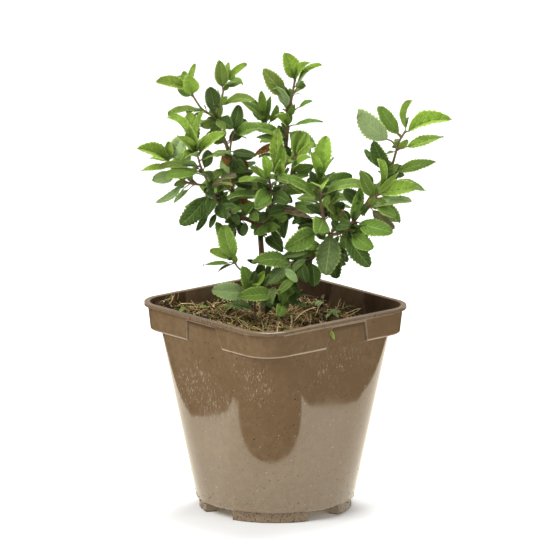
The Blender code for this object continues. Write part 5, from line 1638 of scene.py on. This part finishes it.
# Leaves that fill the thick of the plant, for each shoot. One is: where its blade starts and ends
# (right, up, away), its width, the way it looks and its kind.
fillLeaves = {
    "crownShoot": (
        ((-7.2, 141.2, -8), (-11.6, 130.4, -10), 5.7, "f", "d"),
        ((-3.4, 136.8, -10), (-8.4, 124.7, -14), 5.4, "uf", "s"),
        ((-1.5, 131.7, -10), (-6.5, 121.5, -14), 4.1, "f", "d"),
        ((10, 143.1, -10), (15, 134.2, -14), 5.7, "f", "d"),
        ((10.6, 138.7, -16), (4.3, 127.3, -22), 4.4, "f", "m"),
        ((-0.2, 139.3, -18), (-4, 126, -24), 5.4, "f", "s"),
        ((8.1, 133, -14), (11.9, 126.6, -16), 3.8, "f", "d"),
        ((-4.6, 142.5, -10), (-10.4, 137.4, -12), 4.4, "f", "d"),
        ((4.9, 133, -14), (8.7, 126, -18), 3.8, "f", "m"),
    ),
    "lowShoot": (
        ((-14.8, 134.9, -14), (-15.4, 126.6, -16), 3.8, "f", "d"),
        ((-14.2, 139.3, -14), (-9.1, 131.7, -18), 4.4, "f", "m"),
        ((-15.4, 140.6, -16), (-6.5, 148.8, -20), 6, "f", "y"),
        ((-18.6, 135.5, -14), (-25, 130.4, -20), 4.4, "uf", "s"),
    ),
    "trunk": (
        ((-8.4, 154.6, 6), (-12.9, 145, 0), 5.1, "f", "d"),
        ((-7.8, 150.7, 4), (-4.6, 141.9, -2), 4.4, "f", "d"),
    ),
    "lowerRightShoot": (
        ((65.2, 197.7, -14), (77.9, 211.7, -20), 4.4, "f", "y"),
        ((43.6, 173.6, -6), (35.4, 180, -8), 6.3, "uf", "d"),
        ((46.8, 177.4, -4), (39.2, 187.6, -4), 7, "uf", "s"),
        ((48.7, 175.5, -8), (56.3, 164.7, -12), 6.3, "f", "d"),
    ),
    "rightBranch": (
        ((21.4, 162.2, -4), (4.9, 157.7, -9), 7.6, "uf", "s"),
        ((-5.3, 145.7, -12), (-2.1, 156.5, -12), 3.8, "f", "d"),
        ((10, 153.9, -12), (-5.9, 140.6, -20), 8.3, "uf", "s"),
        ((19.5, 156.5, -8), (9.3, 146.9, -14), 4.4, "uf", "s"),
        ((6.2, 150.1, -16), (13.8, 141.9, -20), 5.7, "f", "g"),
        ((11.9, 143.8, -18), (1.7, 134.2, -24), 6, "f", "m"),
        ((16.3, 154.6, -10), (20.1, 141.2, -13), 8.3, "f", "d"),
        ((10.6, 130.4, -4), (18.2, 136.1, -6), 4.4, "f", "d"),
        ((34.7, 168.5, 0), (46.2, 154.6, -4), 7.6, "f", "s"),
    ),
    "centreBranch": (
        ((-2.7, 176.8, -2), (-12.3, 171.7, -8), 6.3, "uf", "m"),
        ((7.4, 185.7, 4), (5.5, 169.2, 0), 6.7, "f", "d"),
        ((7.4, 188.2, 2), (-5.3, 185, -6), 6.3, "uf", "d"),
        ((0.4, 183.8, 2), (4.9, 176.1, -2), 5.1, "f", "d"),
        ((-2.7, 176.1, 4), (4.9, 165.4, 0), 4.8, "f", "d"),
        ((5.5, 190.1, 4), (15.7, 185.7, 2), 5.1, "uf", "d"),
        ((3.6, 200.3, 6), (10.6, 192, 4), 5.1, "f", "d"),
    ),
    "rightMiddleShoot": (
        ((22.7, 183.1, 0), (10.6, 179.3, -4), 5.7, "uf", "d"),
        ((20.1, 199, -10), (3.6, 209.8, -24), 8.6, "f", "y"),
        ((30.3, 190.1, -4), (39.8, 195.2, -6), 7, "uf", "d"),
        ((29.7, 185, -6), (19.5, 190.1, -8), 5.1, "uf", "d"),
    ),
    "paleRosette": (
        ((4.9, 197.1, -6), (17, 199, -8), 5.4, "uf", "m"),
    ),
    "upperLeftStem": (
        ((-24.3, 220.6, 3), (-18, 211.7, 1), 7, "f", "r"),
        ((-29.4, 207.9, 3), (-13.5, 199.6, 1), 6.3, "uf", "r"),
        ((-16.1, 191.4, 3), (-27.5, 195.8, 1), 5.7, "uf", "r"),
        ((-33.8, 221.9, 3), (-28.8, 214.9, 1), 5.7, "f", "r"),
        ((-25.6, 206.6, 0), (-12.9, 212.3, -4), 6.3, "uf", "d"),
        ((-25.6, 204.1, 0), (-14.2, 201.5, -4), 5.1, "uf", "d"),
        ((-24.3, 209.2, -2), (-26.9, 220, -6), 6.3, "f", "d"),
        ((-29.4, 200.3, 0), (-32.6, 212.3, -4), 5.7, "f", "m"),
        ((-22.4, 196.5, 2), (-12.3, 195.8, -2), 4.4, "uf", "m"),
    ),
    "leftBranch": (
        ((-27.5, 185.7, -4), (-23.1, 178.1, -8), 5.1, "f", "s"),
        ((-28.8, 188.8, -4), (-21.1, 192.7, -8), 5.1, "uf", "m"),
        ((-32.6, 196.5, -6), (-30, 188.8, -8), 5.7, "f", "d"),
        ((-23.7, 179.3, -2), (-31.3, 175.5, -8), 5.1, "uf", "d"),
        ((-24.3, 179.3, -4), (-26.9, 167.3, -8), 3.2, "l", "s"),
        ((-18.6, 179.3, -2), (-20.5, 171.1, -4), 5.1, "f", "s"),
        ((-38.9, 191.4, -6), (-44.6, 182.5, -12), 5.7, "f", "d"),
        ((-37.7, 185, -6), (-41.5, 176.1, -10), 4.4, "f", "d"),
    ),
}


def addFillLeaves(wire, spray, name, route, draw):
    near = [pointAlong(route, step / 24) for step in range(25)]
    for start, end, width, letters, kind in fillLeaves.get(name, ()):
        base, tip = seen(*start), seen(*end)
        face = faceOf(letters)
        root, course = min(near, key=lambda pair: (pair[0] - base).length)
        addStalk(wire, root, course, base, tip, width, face)
        spray.add(base, tip, width, face, kind, draw)


# Leaves that lie on the soil: where the blade starts and ends, its width and kind
fallenLeaves = (
    ((-22.4, 126.6, 27.9), (-32.6, 120.9, 11), 4.5, "g"), ((-30.7, 129.8, 50), (-30, 134.2, 57.1), 4, "m"),
    ((36, 121.5, 12.1), (30.3, 122.8, 15.5), 3.6, "s"),
    ((36.6, 121.5, 12.1), (41.7, 123.1, 16.9), 3.8, "s"), ((35.4, 121.5, 12.1), (32.8, 119, 1.8), 3.4, "g"),
    ((37.3, 121.5, 12.1), (39.8, 119, 1.8), 3.2, "s"), ((30.3, 129.2, 45.5), (25.5, 126.6, 35.2), 4.2, "g"),
    ((36, 122.2, 13.2), (36.6, 125, 23.1), 2.8, "m"), ((-61.2, 122.2, 19.1), (-56.7, 124.7, 26), 2.6, "y"),
    ((-49.1, 126.9, 37.4), (-42.7, 124.7, 27.7), 2.4, "y"),
    ((-39.6, 122.8, 19.4), (-42.7, 121.5, 13.8), 2.4, "y"),
    ((-26.9, 114.6, -16.4), (-30.7, 115.8, -12.1), 2.4, "m"),
    ((29.7, 130.7, 53.3), (31.6, 133.9, 55.7), 3, "w"), ((17, 113.9, -17.9), (13.8, 112, -26.2), 2.2, "r"),
)


# and one that clings to the wall outside, in a recess of the collar
clingingLeaf = ((33.7, 112.5, -52.3), (37.5, 105.6, -49.0), 2.6, "y")


def addFallenLeaves(sprays):
    spray = sprays.setdefault("fallen_leaves", Spray())
    draw = random.Random(23)
    for start, end, width, kind in fallenLeaves:
        base, tip = keepInPot(*start, 0.3), keepInPot(*end, 0.3)
        spray.add(base, tip, width, Vector((0, 0, 1)), kind, draw)
    start, end, width, kind = clingingLeaf
    spray.add(seen(*start), seen(*end), width, Vector((1, 0, 0)), kind, draw)


# more inner leaves, by a rule: how many each shoot has, and the bounds they are drawn in
innerLeaves = {
    "counts": {"leftBranch": 8, "upperLeftStem": 6, "centreBranch": 9, "rightBranch": 7,
               "rightMiddleShoot": 8, "lowerRightShoot": 6, "middleRosette": 4, "leftRosette": 3},
    "start": {"leftBranch": 0.25, "rightBranch": 0.62, "centreBranch": 0.15},
    "length": (12.0, 19.0), "shape": (0.42, 0.55), "away": (-0.3, 1.0), "stalk": 0.2, "kinds": "ddmmo",
}


def addInnerLeaves(wire, spray, name, route, draw):
    first = innerLeaves["start"].get(name, 0.2)
    for _ in range(innerLeaves["counts"].get(name, 0)):
        root, course = pointAlong(route, draw.uniform(first, 0.97))
        way = Vector((draw.uniform(-1, 1), draw.uniform(*innerLeaves["away"]), draw.uniform(-0.6, 0.8)))
        length = draw.uniform(*innerLeaves["length"])
        face = Vector((draw.uniform(-0.5, 0.5), draw.uniform(-1.0, 0.1), draw.uniform(0.2, 1.0)))
        addLeaf(wire, spray, root, course, root + seenDirection(way) * length,
                length * draw.uniform(*innerLeaves["shape"]), seenDirection(face),
                innerLeaves["stalk"], draw.choice(innerLeaves["kinds"]), draw)


# small leaves that grow where larger ones leave the stem
axilLeaves = {
    "share": 0.8, "length": (6.0, 12.5), "shape": (0.36, 0.5), "lift": 0.55, "splay": 0.9, "stalk": 0.2,
    "kinds": {"y": "ym", "d": "dm"}, "otherKinds": "mdo",
}


def addAxilLeaves(wire, spray, root, course, face, along, kind, draw):
    for _ in range(2):
        if draw.random() > axilLeaves["share"]:
            continue
        splay = Vector([draw.uniform(-1, 1) for _ in range(3)]) * axilLeaves["splay"]
        way = (course * axilLeaves["lift"] + along * 0.6 + splay).normalized()
        length = draw.uniform(*axilLeaves["length"])
        look = face + Vector([draw.uniform(-0.6, 0.6) for _ in range(3)])
        width = length * draw.uniform(*axilLeaves["shape"])
        kinds = axilLeaves["kinds"].get(kind, axilLeaves["otherKinds"])
        addLeaf(wire, spray, root, course, root + way * length, width, look, axilLeaves["stalk"],
                draw.choice(kinds), draw)


foliage = {
    "undersideColour": paint(146, 168, 114), "marginColour": paint(188, 214, 108),
    "veinColour": paint(180, 204, 112), "blotchColour": paint(96, 70, 48),
    "witheredColour": paint(74, 44, 46), "yellowVein": paint(176, 144, 56),
    "youngStem": paint(122, 82, 66), "greenStem": paint(104, 112, 54), "barkColour": paint(136, 100, 70),
    "oldBark": paint(84, 60, 42), "cutWood": paint(196, 176, 134),
    # painted shade between the veins, on the upper side
    "shadeBetweenVeins": (0.02, 0.05, 0.005, 1.0),
    "tubes": {"Sides": 9, "Step": 0.0013},
    "bends": {"Arch": 0.075, "Sway": 0.05, "Wind": 0.24, "Curl": 0.11},
}


def makeLeafMaterial():
    material, tree, shader = newMaterial(
        "sageLeaf", 0.5, Specular_IOR_Level=0.26, Sheen_Weight=0.03, Sheen_Roughness=0.5)
    place = ownPlace(tree)
    tint = readAttribute(tree, "leafTint", "Color")
    young = readAttribute(tree, "leafYoung")
    under = readAttribute(tree, "under")
    lot = readAttribute(tree, "leafLot")
    _, signed, phase = partsOf(tree, readAttribute(tree, "blade", "Vector"))
    side = maths(tree, "ABSOLUTE", signed)
    # side veins are where the count is whole, and the midrib is where side is 0
    offVein = maths(tree, "SUBTRACT", maths(tree, "FRACT", plus(tree, phase, 0.5)), 0.5)
    offVein = maths(tree, "ABSOLUTE", offVein)
    sideVein = spread(tree, offVein, 0.13, 0.03, 0.0, 1.0, True)
    midrib = spread(tree, side, 0.1, 0.03, 0.0, 1.0, True)
    fading = times(tree, sideVein, spread(tree, side, 0.0, 1.0, 0.75, 0.25))
    veins = maths(tree, "MAXIMUM", fading, midrib)
    netPlace = joined(tree, times(tree, phase, 3.2), times(tree, side, 7.0), lot)
    net = addNode(tree, "ShaderNodeTexVoronoi", {"Vector": netPlace, "Scale": 1.0},
                  feature="DISTANCE_TO_EDGE")
    netLine = spread(tree, net.outputs["Distance"], 0.0, 0.14, 1.0, 0.0, True)
    # colour: mottled, with painted shade between the veins, and a little paler towards the margin and along
    # the veins
    mottle = cloud(tree, place, 260.0, 3.0, 0.6)
    shade = addNode(tree, "ShaderNodeHueSaturation", {
        "Color": tint, "Value": spread(tree, mottle, 0.3, 0.7, 0.88, 1.2), "Fac": 1.0})
    shadeBetween = times(tree, maths(tree, "SUBTRACT", 1.0, veins), 0.23)
    colour = blend(tree, shadeBetween, shade.outputs[0], foliage["shadeBetweenVeins"])
    veinShow = times(tree, veins, spread(tree, young, 0.0, 1.0, 0.28, 0.54))
    colour = blend(tree, veinShow, colour, foliage["veinColour"])
    colour = blend(tree, times(tree, netLine, 0.1), colour, foliage["veinColour"])
    margin = spread(tree, side, 0.78, 0.94, 0.0, 1.0, True)
    marginShow = times(tree, margin, spread(tree, young, 0.0, 1.0, 0.2, 0.85))
    colour = blend(tree, marginShow, colour, foliage["marginColour"])
    blotch = spread(tree, cloud(tree, place, 420.0, 4.0, 0.65), 0.68, 0.74)
    older = times(tree, maths(tree, "SUBTRACT", 1.0, young), 0.5)
    colour = blend(tree, times(tree, blotch, older), colour, foliage["blotchColour"])
    # withered leaves: dark patches between the veins, yellow along them
    worn = readAttribute(tree, "leafWorn")
    patches = spread(tree, cloud(tree, place, 300.0, 3.0, 0.6), 0.45, 0.56)
    dark = times(tree, patches, worn, 0.55)
    colour = blend(tree, dark, colour, foliage["witheredColour"])
    bright = times(tree, maths(tree, "MAXIMUM", spread(tree, offVein, 0.16, 0.04), midrib), worn)
    colour = blend(tree, times(tree, bright, 0.55), colour, foliage["yellowVein"])
    below = blend(tree, 0.72, tint, foliage["undersideColour"])
    below = blend(tree, times(tree, veins, 0.4), below, foliage["veinColour"])
    colour = blend(tree, under, colour, below)
    tree.links.new(colour, shader.inputs["Base Color"])
    tree.links.new(spread(tree, mottle, 0.3, 0.7, 0.44, 0.6), shader.inputs["Roughness"])
    # veins are sunk above and stand out below
    relief = plus(tree, times(tree, veins, 0.7), times(tree, netLine, 0.4))
    way = spread(tree, under, 0.0, 1.0, -1.0, 1.0)
    addBump(tree, shader, times(tree, relief, way), 0.9, 0.0009)
    return material


def makeStemMaterial():
    material, tree, shader = newMaterial("sageStem", 0.6, Specular_IOR_Level=0.35, Sheen_Weight=0.15)
    place = ownPlace(tree)
    age = readAttribute(tree, "age")
    cut = readAttribute(tree, "cut")
    stretched = addNode(tree, "ShaderNodeMapping", {0: place, 3: (1.0, 1.0, 0.22)}).outputs[0]
    grain = cloud(tree, stretched, 1500.0, 4.0, 0.7)
    patch = cloud(tree, place, 160.0, 3.0)
    bark = blend(tree, spread(tree, grain, 0.35, 0.65), foliage["oldBark"], foliage["barkColour"])
    soft = blend(tree, spread(tree, patch, 0.4, 0.62), foliage["youngStem"], foliage["greenStem"])
    youth = spread(tree, plus(tree, age, spread(tree, patch, 0.3, 0.7, -0.12, 0.12)), 0.25, 0.6)
    colour = blend(tree, youth, bark, soft)
    colour = blend(tree, spread(tree, cut, 0.6, 0.9), colour, foliage["cutWood"])
    tree.links.new(colour, shader.inputs["Base Color"])
    rough = spread(tree, age, 0.1, 0.6, 1.0, 0.25)
    addBump(tree, shader, times(tree, grain, rough), 0.9, 0.0005)
    return material


leafMaterial = makeLeafMaterial()
stemMaterial = makeStemMaterial()
leafMembers = bpy.data.collections.new("leafShapes")
for shapeName in sorted(leafShapes):
    shapeMesh = leafShapeMesh(shapeName, leafShapes[shapeName])
    leafMembers.objects.link(bpy.data.objects.new(shapeName, shapeMesh))
leafPlacer, stemMaker = leafTree(), stemTree()
wires, sprays = growPlant()
addFallenLeaves(sprays)
pieceNodes = {
    "main_stems": "leafy_stem_main", "right_stems": "leafy_stem_right", "low_stems": "leafy_stem_low",
    "left_leaves": "leafy_stem_main", "centre_leaves": "leafy_stem_main",
    "right_leaves": "leafy_stem_right", "low_leaves": "leafy_stem_low",
    "left_small_leaves": "leafy_stem_main", "centre_small_leaves": "leafy_stem_main",
    "right_small_leaves": "leafy_stem_right", "low_small_leaves": "leafy_stem_low",
    "fallen_leaves": "soil",
}
for pieceName, wire in wires.items():
    piece = newPiece(pieceName, wire.mesh(pieceName))
    applyTree(piece, stemMaker, Material=stemMaterial, **foliage["tubes"])
    dressNode(piece, "foliage", pieceNodes[pieceName])
print("stems grown")
for pieceName, spray in sprays.items():
    piece = newPiece(pieceName, spray.mesh(pieceName))
    applyTree(piece, leafPlacer, Leaf_Shapes=leafMembers, Material=leafMaterial, **foliage["bends"])
    dressNode(piece, "foliage", pieceNodes[pieceName])
    print(pieceName, len(piece.data.polygons))
print("leaves grown")

print("finished")
